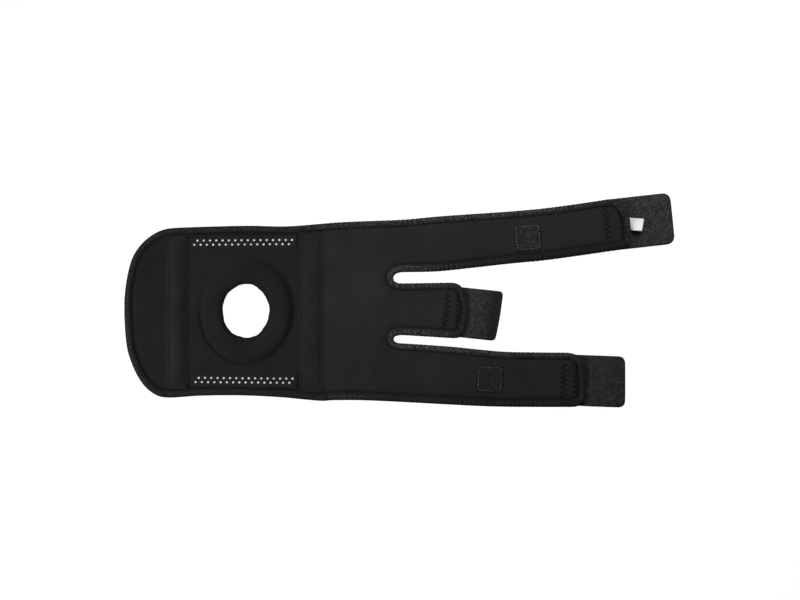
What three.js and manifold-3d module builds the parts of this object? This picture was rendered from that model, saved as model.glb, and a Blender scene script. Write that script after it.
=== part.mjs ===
// Open-patella knee support, opened out on a flat surface with its inner face up.
// Millimetres, +Z up. X runs along the wrap, from the free flap to the strap ends, and Y along the leg.
// The origin is the centre of the footprint, on the surface that the support lies on.
import * as THREE from "three";
import { mergeVertices } from "three/addons/utils/BufferGeometryUtils.js";
import Module from "manifold-3d";

const wasm = await Module();
wasm.setup();

// Driving dimensions
const GAP = 0.3; // left between two sewn pieces
const PANEL_THICKNESS = 4.2; // foam rubber with a knit on both faces
const PINCHED_THICKNESS = 2.2; // the same foam, squeezed inside the binding
const TAPE_THICKNESS = 0.9; // binding tape
const BINDING_WIDTH = 7.5; // tape seen on each face
const BINDING_RISE = 0.2; // the tape's lower face stays this much higher than the panel's
const SEAM_X = -92; // seam between the front panel and the wrap panel
const PATCH_THICKNESS = 0.8;
const TAB_THICKNESS = 1.6;
const LABEL_THICKNESS = 0.8;

const BINDING_REACH = TAPE_THICKNESS + GAP; // how far the fold stands past the panel's own edge
const BINDING_THICKNESS = PINCHED_THICKNESS + 2 * BINDING_REACH;
const FACE = PANEL_THICKNESS + GAP; // where pieces sewn on the inner face start

// How finely the shapes are cut
const CURVE_STEPS = 3; // straight pieces for each row of an edge table, and each corner
const LIE_STEP = 9.5; // longest straight piece where the sheet rises or sinks
const RING_SIDES = 40;
const POCKET_STEPS = { across: 8, taper: 4 };
const TALL = 60; // height of the prisms that cut the layers out
const PAST_EDGES = [-140, 140]; // lines along the wrap, clear of the footprint on both sides

// Kneecap hole and the padded ring round it: a round section, stretched along the leg
const KNEECAP = { x: -184.5, y: -12.5, radius: 27.9, stretch: 1.15 };
const RING_SECTION = [
  // radius from the hole's centre, and height above the panel
  { radius: 28.2, height: 0 },
  { radius: 55.8, height: 0 },
  { radius: 55.8, height: 1.0 },
  { radius: 52.4, height: 1.1 },
  { radius: 50.4, height: 2.9 },
  { radius: 46.0, height: 4.5 },
  { radius: 41.0, height: 5.0 },
  { radius: 35.0, height: 4.5 },
  { radius: 30.4, height: 3.2 },
  { radius: 27.9, height: 1.4 },
];

// The outer edge of the binding, seen from above, as rows that a smooth curve runs through
const FLAP_END = [
  { x: -263, y: 87.4 },
  { x: -281, y: 85.6 },
  { x: -296, y: 79 },
  { x: -311, y: 65.6 },
  { x: -322.5, y: 44 },
  { x: -329.4, y: 2 },
  { x: -327.4, y: -49 },
  { x: -320.5, y: -76 },
  { x: -309.5, y: -97.5 },
  { x: -296, y: -111 },
  { x: -279, y: -116.4 },
];
const BOTTOM_EDGE = [
  { x: -239, y: -114.2 },
  { x: -191, y: -113.8 },
  { x: -143, y: -116 },
  { x: -97, y: -120.2 },
  { x: -78, y: -119.5 },
  { x: -35, y: -119.9 },
  { x: 49, y: -124.1 },
  { x: 121, y: -127.3 },
  { x: 206, y: -127.6 },
];
const LOWER_STRAP_TOP = [
  { x: 199, y: -62.4 },
  { x: 133, y: -61.7 },
  { x: 97, y: -58.9 },
  { x: 61, y: -55.2 },
  { x: 3, y: -51.3 },
];
const MIDDLE_STRAP_BOTTOM = [
  { x: 3, y: -41.5 },
  { x: 65, y: -45.3 },
];
const MIDDLE_STRAP_TOP = [
  { x: 62, y: 21.4 },
  { x: 3, y: 20.5 },
];
const UPPER_STRAP_BOTTOM = [
  { x: 5, y: 33.9 },
  { x: 37, y: 34.4 },
  { x: 61, y: 36.2 },
  { x: 133, y: 44.2 },
  { x: 181, y: 49 },
  { x: 262, y: 60.4 },
];
const TOP_EDGE = [
  { x: 252, y: 121.6 },
  { x: 193, y: 112.9 },
  { x: 145, y: 107.8 },
  { x: 49, y: 100.9 },
  { x: 1, y: 96.7 },
  { x: -71, y: 93.8 },
  { x: -133, y: 89 },
  { x: -179, y: 89.6 },
  { x: -225, y: 88.7 },
];
// Each strap's end, from its lower edge to its upper one: the first corner, three points of the end
// itself, of which the middle one bows it out, and the second corner
const STRAP_ENDS = {
  lower: [
    { x: 222, y: -127.4 },
    { x: 222, y: -114 },
    { x: 222.6, y: -99 },
    { x: 221.5, y: -84 },
    { x: 220, y: -62.6 },
  ],
  middle: [
    { x: 80, y: -46 },
    { x: 80.5, y: -32 },
    { x: 84.5, y: -14 },
    { x: 80, y: 4 },
    { x: 79, y: 21.2 },
  ],
  upper: [
    { x: 278.4, y: 62.4 },
    { x: 278.4, y: 76 },
    { x: 277, y: 87 },
    { x: 274.6, y: 98 },
    { x: 273, y: 123.4 },
  ],
};
// Each slot's closed end: how far left it reaches, and the height of its middle
const SLOT_ROOTS = {
  lower: { x: -7.7, y: -46.2 },
  upper: { x: -8, y: 26.6 },
};

// How the sheet lies: its underside clears the surface by these heights along the wrap
const LIE = [
  { x: -332, height: 4.5 },
  { x: -282, height: 0 },
  { x: -60, height: 0 },
  { x: -24, height: 1 },
  { x: 14, height: 0 },
  { x: 52, height: 2 },
  { x: 86, height: 2 },
  { x: 124, height: 0 },
  { x: 150, height: 0 },
  { x: 190, height: 2 },
  { x: 254, height: 2 },
  { x: 270, height: 3 },
  { x: 282, height: 3 },
];

// Ribs sewn over the stays, one each side of the kneecap
const POCKETS = [
  { name: "stay_pocket_left", left: -279.5, right: -255.5, top: 77.4, bottom: -107.4, crown: 3.4 },
  { name: "stay_pocket_right", left: -121, right: -93.8, top: 81.6, bottom: -109.8, crown: 2.6 },
];
const POCKET_HEM = 1; // thickness at the sewn margins
const POCKET_MARGIN = 3.2; // width of a sewn margin
const POCKET_TAPER = 14; // length over which a rib sinks to its end

// Flat pieces sewn on the inner face: middle, size and turn in degrees
const FACE_PIECES = [
  { name: "grip_strip_upper", x: -187.6, y: 69.6, length: 129, width: 17.6, turn: 0.4, look: "grip" },
  { name: "grip_strip_lower", x: -186.4, y: -96.2, length: 128, width: 18.6, turn: -0.5, look: "grip" },
  { name: "strap_patch_upper", x: 153.2, y: 75.4, length: 30.5, width: 30.5, turn: 6, look: "patch" },
  { name: "strap_patch_lower", x: 107.6, y: -94, length: 30, width: 31, turn: -2.5, look: "patch" },
];
const CUT_CORNER = 1.2; // rounding of a corner that was cut square

// Hook tabs: middle of the sewn end, size, turn in degrees, and how far the free end slants
const HOOK_TABS = [
  { name: "hook_tab_upper", x: 250, y: 90.2, length: 77.6, width: 61.8, turn: 6.4, corner: 11, slant: 0.6 },
  { name: "hook_tab_middle", x: 56, y: -12.3, length: 64, width: 60, turn: -6, corner: 4.5, slant: 3.6 },
  { name: "hook_tab_lower", x: 196, y: -95.1, length: 74.4, width: 61.4, turn: -2.1, corner: 9, slant: -2.2 },
];

// Size label: where it comes out from under the strap's end, its size, the part of its length that is
// caught there, and how far its free end lifts
const LABEL = { x: 276.3, y: 91.9, length: 18, width: 15, turn: -6, caught: 4.5, lift: 2.6 };

const LOOKS = {
  panel: { color: 0x252525, roughness: 0.92 },
  binding: { color: 0x2d2d2d, roughness: 0.85 },
  rib: { color: 0x262626, roughness: 0.9 },
  grip: { color: 0x272727, roughness: 0.6 },
  patch: { color: 0x282828, roughness: 0.9 },
  hook: { color: 0x2e2c2f, roughness: 0.7 },
  label: { color: 0xeeeef0, roughness: 0.7 },
};

// Solids

function solidOf(geometry) {
  const bare = geometry.clone();
  bare.deleteAttribute("normal");
  bare.deleteAttribute("uv");
  const merged = mergeVertices(bare);
  return new wasm.Manifold(
    new wasm.Mesh({
      numProp: 3,
      vertProperties: new Float32Array(merged.attributes.position.array),
      triVerts: new Uint32Array(merged.index.array),
    }),
  );
}

function geometryOf(solid) {
  const { vertProperties, triVerts } = solid.getMesh();
  const geometry = new THREE.BufferGeometry();
  geometry.setAttribute("position", new THREE.BufferAttribute(vertProperties, 3));
  geometry.setIndex(new THREE.BufferAttribute(triVerts, 1));
  geometry.computeVertexNormals();
  return geometry;
}

// A tall prism over a loop, to cut a layer out with.
function prism(loop) {
  const walls = new THREE.ExtrudeGeometry(new THREE.Shape(loop), { depth: TALL, bevelEnabled: false });
  return solidOf(walls.translate(0, 0, -TALL / 2));
}

// A closed slab between two heights, over the grid that these lines make.
function slab(xLines, yLines, low, high) {
  const columns = yLines.length;
  const topStart = xLines.length * columns;
  const positions = [];
  for (const height of [low, high]) {
    for (const x of xLines) {
      for (const y of yLines) positions.push(x, y, height(x, y));
    }
  }
  const faces = [];
  const quad = (a, b, c, d) => faces.push(a, b, c, a, c, d);
  const wall = (a, b) => quad(a, b, topStart + b, topStart + a);
  for (let i = 0; i < xLines.length - 1; i++) {
    for (let j = 0; j < columns - 1; j++) {
      const a = i * columns + j;
      const b = a + columns;
      quad(a, a + 1, b + 1, b);
      quad(topStart + a, topStart + b, topStart + b + 1, topStart + a + 1);
    }
    wall(i * columns, (i + 1) * columns);
    wall((i + 2) * columns - 1, (i + 1) * columns - 1);
  }
  for (let j = 0; j < columns - 1; j++) {
    wall(j + 1, j);
    wall(topStart - columns + j, topStart - columns + j + 1);
  }
  const geometry = new THREE.BufferGeometry();
  geometry.setAttribute("position", new THREE.BufferAttribute(new Float32Array(positions), 3));
  geometry.setIndex(faces);
  return solidOf(geometry);
}

// Evenly spaced values, both ends included.
const spread = (from, to, steps) => Array.from({ length: steps + 1 }, (_, i) => from + ((to - from) * i) / steps);

// Outlines

const asVector = ({ x, y }) => new THREE.Vector2(x, y);

// Rounds a strap's end, from its lower edge to the start of its upper one.
function turnStrapEnd(path, [firstCorner, start, middle, end, secondCorner], next) {
  path.quadraticCurveTo(firstCorner.x, firstCorner.y, start.x, start.y);
  path.quadraticCurveTo(middle.x, middle.y, end.x, end.y);
  path.quadraticCurveTo(secondCorner.x, secondCorner.y, next.x, next.y);
}

// Rounds the closed end of a slot, from the strap below it to the strap above it.
function turnSlotRoot(path, { x, y }, next) {
  path.quadraticCurveTo(x, path.currentPoint.y, x, y);
  path.quadraticCurveTo(x, next.y, next.x, next.y);
}

// The outer edge of the binding, anticlockwise from the top of the flap.
function bindingOutline() {
  const path = new THREE.Path();
  const rest = (rows) => rows.slice(1).map(asVector);
  path.moveTo(FLAP_END[0].x, FLAP_END[0].y);
  path.splineThru([...rest(FLAP_END), ...BOTTOM_EDGE.map(asVector)]);
  turnStrapEnd(path, STRAP_ENDS.lower, LOWER_STRAP_TOP[0]);
  path.splineThru(rest(LOWER_STRAP_TOP));
  turnSlotRoot(path, SLOT_ROOTS.lower, MIDDLE_STRAP_BOTTOM[0]);
  path.splineThru(rest(MIDDLE_STRAP_BOTTOM));
  turnStrapEnd(path, STRAP_ENDS.middle, MIDDLE_STRAP_TOP[0]);
  path.splineThru(rest(MIDDLE_STRAP_TOP));
  turnSlotRoot(path, SLOT_ROOTS.upper, UPPER_STRAP_BOTTOM[0]);
  path.splineThru(rest(UPPER_STRAP_BOTTOM));
  turnStrapEnd(path, STRAP_ENDS.upper, TOP_EDGE[0]);
  path.splineThru([...rest(TOP_EDGE), asVector(FLAP_END[0])]);
  return path.getPoints(CURVE_STEPS).slice(0, -1);
}

// An anticlockwise loop moved inwards by a distance, with its corners mitred.
function inset(loop, distance) {
  const along = (from, to) => to.clone().sub(from).normalize();
  return loop.map((point, i) => {
    const before = along(loop.at(i - 1), point);
    const after = along(point, loop[(i + 1) % loop.length]);
    const tangent = before.add(after).normalize();
    const inwards = new THREE.Vector2(-tangent.y, tangent.x);
    return point.clone().addScaledVector(inwards, distance / tangent.dot(after));
  });
}

// A straight-sided shape with each corner rounded by its own radius.
function roundedShape(corners) {
  const shape = new THREE.Shape();
  corners.forEach((corner, i) => {
    const point = asVector(corner);
    const towards = (other) => asVector(other).sub(point).setLength(corner.radius).add(point);
    const before = towards(corners.at(i - 1));
    const after = towards(corners[(i + 1) % corners.length]);
    if (i === 0) shape.moveTo(before.x, before.y);
    else shape.lineTo(before.x, before.y);
    shape.quadraticCurveTo(point.x, point.y, after.x, after.y);
  });
  shape.closePath();
  return shape;
}

// How the sheet lies

function lie(x) {
  const next = LIE.findIndex((row) => row.x >= x);
  const [a, b] = [LIE[Math.max(next - 1, 0)], LIE[next]];
  return THREE.MathUtils.lerp(a.height, b.height, THREE.MathUtils.smoothstep(x, a.x, b.x));
}

// Lines across the wrap: close together where the sheet rises, and only at the rows where it is level.
function lieLines() {
  const lines = [LIE[0].x];
  LIE.slice(1).forEach((row, i) => {
    const steps = row.height === LIE[i].height ? 1 : Math.ceil((row.x - LIE[i].x) / LIE_STEP);
    lines.push(...spread(LIE[i].x, row.x, steps).slice(1));
  });
  return lines;
}

const LIE_LINES = lieLines();

// A layer of the sheet between two heights above its underside.
const layer = (low, high) => slab(LIE_LINES, PAST_EDGES, (x) => lie(x) + low, (x) => lie(x) + high);

// Pieces

const OUTLINE = bindingOutline();

// Both panels in one: full thickness inside the binding, squeezed where the tape folds over it.
function sheet() {
  const squeezedFrom = BINDING_RISE + BINDING_REACH;
  const core = layer(0, PANEL_THICKNESS).intersect(prism(inset(OUTLINE, BINDING_WIDTH + GAP)));
  const edge = layer(squeezedFrom, squeezedFrom + PINCHED_THICKNESS);
  return core.add(edge.intersect(prism(inset(OUTLINE, BINDING_REACH))));
}

// The stretch of a solid between two places along the wrap.
function stretchOf(solid, left, right) {
  const width = PAST_EDGES[1] - PAST_EDGES[0];
  const block = new THREE.BoxGeometry(right - left, width, TALL).translate((left + right) / 2, 0, 0);
  return solid.intersect(solidOf(block));
}

function kneecapHole() {
  const wall = KNEECAP.radius + GAP;
  const plug = new THREE.CylinderGeometry(wall, wall, TALL, RING_SIDES).rotateX(Math.PI / 2);
  return solidOf(plug.scale(1, KNEECAP.stretch, 1).translate(KNEECAP.x, KNEECAP.y, 0));
}

// A folded tape: the ring between two loops, hollowed out for the panel's squeezed edge.
function binding() {
  const [low, high] = [BINDING_RISE, BINDING_RISE + BINDING_THICKNESS];
  const inside = layer(low + TAPE_THICKNESS, high - TAPE_THICKNESS);
  const hollow = inside.intersect(prism(inset(OUTLINE, TAPE_THICKNESS)));
  const ring = prism(OUTLINE).subtract(prism(inset(OUTLINE, BINDING_WIDTH)));
  return layer(low, high).intersect(ring).subtract(hollow);
}

function patellaPad() {
  const section = RING_SECTION.map(({ radius, height }) => new THREE.Vector2(radius, height));
  const ring = new THREE.LatheGeometry([...section, section[0]], RING_SIDES);
  return ring.rotateX(Math.PI / 2).scale(1, KNEECAP.stretch, 1);
}

// A sewn rib: flat margins, a crowned middle, and both ends sinking to the margins' thickness.
function stayPocket({ left, right, top, bottom, crown }) {
  const middle = (left + right) / 2;
  const ribLeft = left + POCKET_MARGIN;
  const ribRight = right - POCKET_MARGIN;
  const across = (x) => 1 - Math.min(1, Math.abs(x - middle) / (middle - ribLeft)) ** 2;
  const along = (y) => THREE.MathUtils.smoothstep(Math.min(top - y, y - bottom), 0, POCKET_TAPER);
  const xLines = [left, ...spread(ribLeft, ribRight, POCKET_STEPS.across), right];
  const yLines = [
    ...spread(bottom, bottom + POCKET_TAPER, POCKET_STEPS.taper),
    ...spread(top - POCKET_TAPER, top, POCKET_STEPS.taper),
  ];
  return slab(xLines, yLines, () => FACE, (x, y) => FACE + POCKET_HEM + crown * across(x) * along(y));
}

// A flat piece that follows the sheet below it.
function facePiece({ x, y, length, width, turn }) {
  const [a, b] = [length / 2, width / 2];
  const corners = [
    { x: -a, y: -b, radius: CUT_CORNER },
    { x: a, y: -b, radius: CUT_CORNER },
    { x: a, y: b, radius: CUT_CORNER },
    { x: -a, y: b, radius: CUT_CORNER },
  ];
  const middle = new THREE.Vector2(x, y);
  const angle = THREE.MathUtils.degToRad(turn);
  const loop = roundedShape(corners).getPoints(1).slice(0, -1);
  loop.forEach((point) => point.add(middle).rotateAround(middle, angle));
  return layer(FACE, FACE + PATCH_THICKNESS).intersect(prism(loop));
}

// A flat tab from its sewn end at the origin, with its two free corners rounded.
function hookTab({ length, width, corner, slant }) {
  const [longer, shorter, half] = [length + slant / 2, length - slant / 2, width / 2];
  const shape = roundedShape([
    { x: 0, y: -half, radius: CUT_CORNER },
    { x: shorter, y: -half, radius: corner },
    { x: longer, y: half, radius: corner },
    { x: 0, y: half, radius: CUT_CORNER },
  ]);
  const depth = TAB_THICKNESS;
  return new THREE.ExtrudeGeometry(shape, { depth, bevelEnabled: false, curveSegments: CURVE_STEPS });
}

// The label leaves the strap's end level with the tab and curls up towards its free end.
function sizeLabel() {
  const { length, width, caught, lift } = LABEL;
  const free = length - caught;
  const low = (x) => TAB_THICKNESS + GAP + lift * THREE.MathUtils.smoothstep(x, 0, free);
  const xLines = [-caught, ...spread(0, free, 2 * CURVE_STEPS)];
  return slab(xLines, [-width / 2, width / 2], low, (x) => low(x) + LABEL_THICKNESS);
}

// Assembly

const support = new THREE.Group();

function add(name, geometry, look, { x = 0, y = 0, z = 0, turn = 0 } = {}) {
  const mesh = new THREE.Mesh(geometry, new THREE.MeshStandardMaterial({ ...LOOKS[look], metalness: 0 }));
  mesh.name = name;
  mesh.position.set(x, y, z);
  mesh.rotation.z = THREE.MathUtils.degToRad(turn);
  support.add(mesh);
}

const wholeSheet = sheet();
const front = stretchOf(wholeSheet, LIE[0].x, SEAM_X - GAP / 2).subtract(kneecapHole());
const wrap = stretchOf(wholeSheet, SEAM_X + GAP / 2, LIE.at(-1).x);
add("front_panel", geometryOf(front), "panel");
add("wrap_panel", geometryOf(wrap), "panel");
add("edge_binding", geometryOf(binding()), "binding");
add("patella_pad", patellaPad(), "rib", { x: KNEECAP.x, y: KNEECAP.y, z: FACE });
for (const row of POCKETS) add(row.name, geometryOf(stayPocket(row)), "rib");
for (const row of FACE_PIECES) add(row.name, geometryOf(facePiece(row)), row.look);
for (const row of HOOK_TABS) add(row.name, hookTab(row), "hook", row);
add("size_label", geometryOf(sizeLabel()), "label", LABEL);

export default support;
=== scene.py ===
"""Looks of an open-patella knee support, opened out on a pale floor with its inner face up.

Shapes are worked out in millimetres, in the part's own frame, and scaled to metres as each mesh is made.
"""

import math

import bpy
import numpy as np
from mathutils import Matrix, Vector
from mathutils.geometry import delaunay_2d_cdt
from mathutils.kdtree import KDTree


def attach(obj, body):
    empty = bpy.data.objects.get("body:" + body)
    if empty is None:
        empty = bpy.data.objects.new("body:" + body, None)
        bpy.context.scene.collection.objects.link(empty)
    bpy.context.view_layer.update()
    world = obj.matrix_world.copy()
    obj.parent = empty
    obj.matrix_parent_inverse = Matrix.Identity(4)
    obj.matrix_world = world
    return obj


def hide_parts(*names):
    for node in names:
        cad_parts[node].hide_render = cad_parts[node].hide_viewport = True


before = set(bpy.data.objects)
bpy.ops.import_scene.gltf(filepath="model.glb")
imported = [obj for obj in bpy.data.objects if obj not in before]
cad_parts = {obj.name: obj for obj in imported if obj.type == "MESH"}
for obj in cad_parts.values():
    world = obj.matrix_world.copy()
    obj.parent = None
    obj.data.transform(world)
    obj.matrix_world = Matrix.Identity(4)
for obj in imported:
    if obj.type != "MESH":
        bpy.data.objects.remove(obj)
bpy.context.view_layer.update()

MM = 0.001
CHANCE = np.random.default_rng(11)

# Main sizes
GAP = 0.3  # between the panel's face and what is sewn on it
PANEL_THICKNESS = 4.2
FACE = PANEL_THICKNESS + GAP  # where pieces sewn on the inner face start
CLEAR = 0.35  # room under the outer face for the threads that show there
SEAM_X = -92
SEAM_LEAN = 1.2  # the panels meet on a slant
PAST_ENDS = 400  # a place past both ends of the wrap
BINDING_WIDTH = 7.0
BINDING_MIDDLE = 2.5  # height of the fold's middle
SQUEEZED_TOP = 3.3  # the panel's faces where the binding squeezes it
SQUEEZED_BOTTOM = 1.6
SHOULDER = 15  # distance from the edge at which the panel is full again
PATCH_THICKNESS = 0.8
TAB_THICKNESS = 1.0

# How finely the cloth is cut
EDGE_STEP = 1.0
CLOTH_STEP = 1.6
FINE_STEP = 1.2
TAB_STEP = 2.0
EVENING = 5  # times that the edge's outline is evened out
ELLIPSE_SIDES = 400
SPREAD_CLEAR = 0.6  # share of a step that spread points keep from fixed ones
# Fine mesh beside a zigzag: half width, step across, and step along as a share of half its row
ZIGZAG_FIELD = (4.2, 0.7, 0.035)

# Edges of the binding, as x and y of rows that a smooth curve runs through
FLAP_END = [
    (-263, 87.4), (-281, 85.6), (-296, 79), (-311, 65.6), (-322.5, 44), (-329.4, 2),
    (-327.4, -49), (-320.5, -76), (-309.5, -97.5), (-296, -111), (-279, -116.4),
]
BOTTOM_EDGE = [
    (-239, -114.2), (-191, -113.8), (-143, -116), (-97, -120.2), (-78, -119.5), (-35, -119.9),
    (49, -124.1), (121, -127.3), (206, -127.6),
]
LOWER_STRAP_TOP = [(199, -62.4), (133, -61.7), (97, -58.9), (61, -55.2), (3, -51.3)]
MIDDLE_STRAP_BOTTOM = [(3, -41.5), (65, -45.3)]
MIDDLE_STRAP_TOP = [(62, 21.4), (3, 20.5)]
UPPER_STRAP_BOTTOM = [(5, 33.9), (37, 34.4), (61, 36.2), (133, 44.2), (181, 49), (265, 60.9)]
TOP_EDGE = [
    (252, 121.6), (193, 112.9), (145, 107.8), (49, 100.9), (1, 96.7), (-71, 93.8), (-133, 89),
    (-179, 89.6), (-225, 88.7),
]
# Each strap's end: its first corner, three points of the end itself, and its second corner
STRAP_ENDS = {
    "lower": [(222, -127.4), (222, -114), (222.6, -99), (221.5, -84), (220, -62.6)],
    "middle": [(76.5, -45.6), (78.2, -33), (86.4, -13.5), (78.5, 6), (76, 21)],
    "upper": [(277.6, 62.4), (277.2, 73), (276.4, 87), (275.4, 98), (264.5, 121.5)],
}
# Each slot's closed end: how far left it reaches, and the height of its middle
SLOT_ROOTS = {"lower": (-7.7, -46.2), "upper": (-8, 26.6)}

# How the sheet lies: place along the wrap, and height of its underside there
LIE = [
    (-332, 4.5), (-282, 0), (-60, 0), (-24, 1), (14, 0), (52, 2), (86, 2), (124, 0), (150, 0),
    (190, 2), (254, 2), (270, 3), (282, 3),
]
# Soft swell of the cloth: height, wavelengths along x and y, and phase
SWELL = [(0.22, 190, 330, 0.4), (0.14, 105, -230, 2.1), (0.09, 380, 120, 4.0)]

# Section of the folded tape, from its inner edge over the top to the fold: inset and height
TAPE_SECTION = [
    (6.8, 3.5), (7.0, 3.66), (6.9, 3.86), (6.4, 3.98), (5.9, 3.98), (5.3, 4.22), (4.6, 4.58),
    (3.7, 4.82), (2.7, 4.74), (1.7, 4.36), (0.8, 3.76), (0.2, 3.05),
]
TAPE_INSIDE = [(6.0, 1.45), (1.7, 1.5), (1.1, 2.5), (1.7, 3.5), (6.0, 3.55)]
TAPE_SPREAD = (1.15, 0.15)  # width as a share of the usual one, and how much more where the edge faces down
TAPE_LIP = 0.1  # how far past the tape's inner edge its threads still lie on it
TAPE_STITCH = 5.9  # inset of the row that holds the tape
TAPE_ROW_TOP = 3.98  # height of the tape's face along that row
PUCKER_PITCH = 5.6
PUCKER_LEAN = 0.55  # how far a pucker slants along the edge for each step across the tape
PUCKER_HEIGHT = 0.75
# How the puckers vary along the edge: pitch, least, most and seed
PUCKER_WANDER = (26, -3, 3, 3)
PUCKER_STRENGTH = (13, 0.1, 1.2, 4)
BODY_GATHER = 0.4  # share of the puckers along the body, which grows to all of them between two places
GATHER_GROWS = (-130, -40)
FLAT_END = 0.5  # share of the puckers lost at the ends of the lower and the middle strap
FLAT_BOTTOM = 0.4  # share lost along the bottom edge
TAPE_HELD = 1.6  # distance from its row of stitches at which the tape is free to pucker
TUFT_HEIGHT = 0.1  # the tape ripples a little along its stitches
TUFT_WIDTH = 0.8
FOLD_WAVER = 0.22  # how far the puckers move the fold in and out, up to an inset
FOLD_INSET = 1.0
OUTER_PUCKER = 0.4  # share of the puckers that shows on the outer face
# Painted shade of the tape along its row of stitches, its inner lip and its fold: strength and width
ROW_CREASE = (0.5, 0.7)
LIP_CREASE = (0.7, 0.25)
FOLD_CREASE = (0.9, 1.3)
# painted shade in the valleys of the puckers
PUCKER_CREASE = 0.8
# least painted shade of the tape; below 0 it is painted light
PALEST_TAPE = -0.3
# Painted shade of the tape along the wrap, on the top edge, the bottom edge and under the upper strap, with
# painted
# light below 0: place and share
TOP_PAINTED_SHADE = [(0, 0), (60, -0.2), (185, -0.2), (220, 0.25)]
BOTTOM_PAINTED_SHADE = [(-150, 0.2), (-90, 0.5), (-30, 0.5), (0, 0.67), (150, 0.72), (200, 0.7), (215, -0.1)]
UNDER_STRAP_PAINTED_SHADE = [(10, 0), (45, 0.45), (80, 0.65), (125, 0.7), (145, 0.88), (230, 0.85)]
# the tape is darker along the body, fading out between two places
BODY_DARKER = 0.49
BODY_FADE = (-130, -60)
# painted shade of the tape at the strap ends, and at the upper strap's end
END_PAINTED_SHADE = 0.62
UPPER_END_PAINTED_SHADE = 0.45
SLOT_PALER = -0.25  # paler tape along the lower slot, up to where it fades
SLOT_FADE = (90, 120)
FACING = (0.3, 0.8)  # slopes between which an edge counts more and more as facing up or down, for its painted light and shade
# Places across the wrap that tell its edges apart
TOP_EDGE_FROM = 60
UPPER_STRAP_FROM = 25
LOWER_STRAP_TO = -40
BOTTOM_EDGE_TO = (-112, -100)
END_REACH = 0.75  # radius of a strap's end, as a share of its length
END_FADE = 16

# Kneecap hole and ring: the ring's section is its distance from the hole's centre and its height
KNEECAP = (-184.5, -12.5)
KNEECAP_RADIUS = 27.9
KNEECAP_STRETCH = 1.15
RING_TOP = [
    (58.9, 0.2), (58.4, 0.5), (57.6, 0.55), (56.6, 0.5), (55.8, 0.45), (55.1, 0.75), (53.9, 1.9),
    (51.6, 3.05), (48.2, 3.8), (43.6, 4.15), (38.6, 4.1), (34.2, 3.6), (30.8, 2.75), (28.6, 1.5),
    (27.95, 0.2), (27.9, -1.6), (27.9, -3.4),
]
RING_BACK = [(28.2, -3.5), (28.2, -1.0), (29.0, 0.0), (42.0, 0.0), (57.2, 0.0), (58.6, 0.05)]
RING_FOLD = 54.7  # radius of the fold between the padding and its flange
RING_ROW = 57.0  # radius of the row of stitches round the flange
RING_RIM = 58.9
RING_SINK = 0.45  # how far that row holds the flange down
# Where the fold is deep and its painted shade darkest: direction from the hole and spread, in degrees, and
# strength
RING_SLACK = [(-8, 48, 1.0), (206, 42, 1.1), (268, 26, 0.7)]
RING_THIN = (130, 40)  # direction and spread of the side where the padding thins out
RING_SIDES = 480
# Unevenness of the padding and of the hole's rim: height, waves round the ring and phase
RING_LUMPS = [(0.22, 3, 0.7), (0.16, 7, 2), (0.1, 13, 0)]
RING_RAGGED = [(0.32, 5, 1), (0.2, 11, 0), (0.1, 23, 2)]
RAGGED_RADIUS = 31  # the rim is ragged inside this radius
# Bands of the ring: middle radius and width
RING_CROWN = (42, 10)
RING_SEWN = (52.9, 1.9)
RING_LIP = (30, 2.2)
RING_GATHERS = 53
GATHER_WANDER = (2, 5)  # how far the gathers wander, and how often round the ring
GATHER_FADE = (0.6, 0.4, 4, 1)  # usual strength, how much it changes, how often round the ring, and phase
SEWN_GATHER = 0.22
LIP_GATHER = 0.14
RING_SLOPE = (0.3, 4.0, 36)  # padding that thins out: height at the rim, rise, and radius where it is full
FOLD_DEPTH = 0.8
FOLD_WIDTHS = (2.4, 1.1)  # inside and outside the fold
FLANGE_DROP = (-2.5, 1.2)  # where the flange starts to sink and is down, from the fold
RING_BED = 0.1  # how far the ring sits in the panel's nap
# Painted shade of the ring along its rim, and by the hole between two radii
RIM_CREASE = (0.9, 0.9)  # strength and width
INNER_CREASE = 0.9
INNER_FADE = (28, 34)
SLACK_CREASE = 0.5  # painted shade in needle holes where the fold is slack
HOLE_CLEAR = 0.45  # from the kneecap hole's edge to the panel inside the ring

# Ribs sewn over the stays: left, right, top, bottom, crown
POCKETS = {
    "stay_pocket_left": (-279.5, -253.4, 77.4, -105.8, 2.4),
    "stay_pocket_right": (-121, -92.1, 81.6, -109.8, 1.3),
}
POCKET_HEM = 0.25
POCKET_MARGIN = 3.7
POCKET_TAPER = 14
POCKET_STITCH = (3.2, 2.5)  # from the pocket's left and right edges to their rows of stitches
SEAM_TUCK = 0.9  # how much wider the hem beside the seam is
BY_SEAM = SEAM_X - 5  # what lies past it belongs to that hem
POCKET_CORNER = 2.0
POCKET_ROW_END = 2  # from the pocket's ends to the ends of its rows of stitches
POCKET_ROW_WIDTH = 1.2
SEAM_ROW_WIDTH = 0.8
HEM_RIM = (0.8, 0.5)  # width of the rounded edge, and least share of the thickness
HEM_FLATTENED = 0.8  # share of the hem's height lost beside the seam
CROWN_CURVE = 0.8  # how full the crown is across the pocket
# Ripples of a pocket along its length: height and pitch
POCKET_TUG = (0.12, 9)
POCKET_SAG = (0.18, 67)
TUG_WANDER = (1.5, 21)  # strength and length over which the tug's ripples wander
TUG_WIDTH = 0.25  # share of the half width beside each row
POCKET_BED = 0.05
ROW_DIP = 0.18
HOLE_DIP = 0.25
# Painted shade of a pocket: along its rows, deeper towards the kneecap, in needle holes and at its left edge
POCKET_CREASE = 0.15
INNER_ROW_CREASE = 0.3
HOLE_CREASE = 0.9
LEFT_EDGE_CREASE = (0.4, 0.3)  # strength and width
HEM_PAINTED_LIGHT = 0.35  # painted light that makes the hem beside the seam paler
HEM_FADE = (0.3, 1)  # distances past its row between which it turns pale
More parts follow.
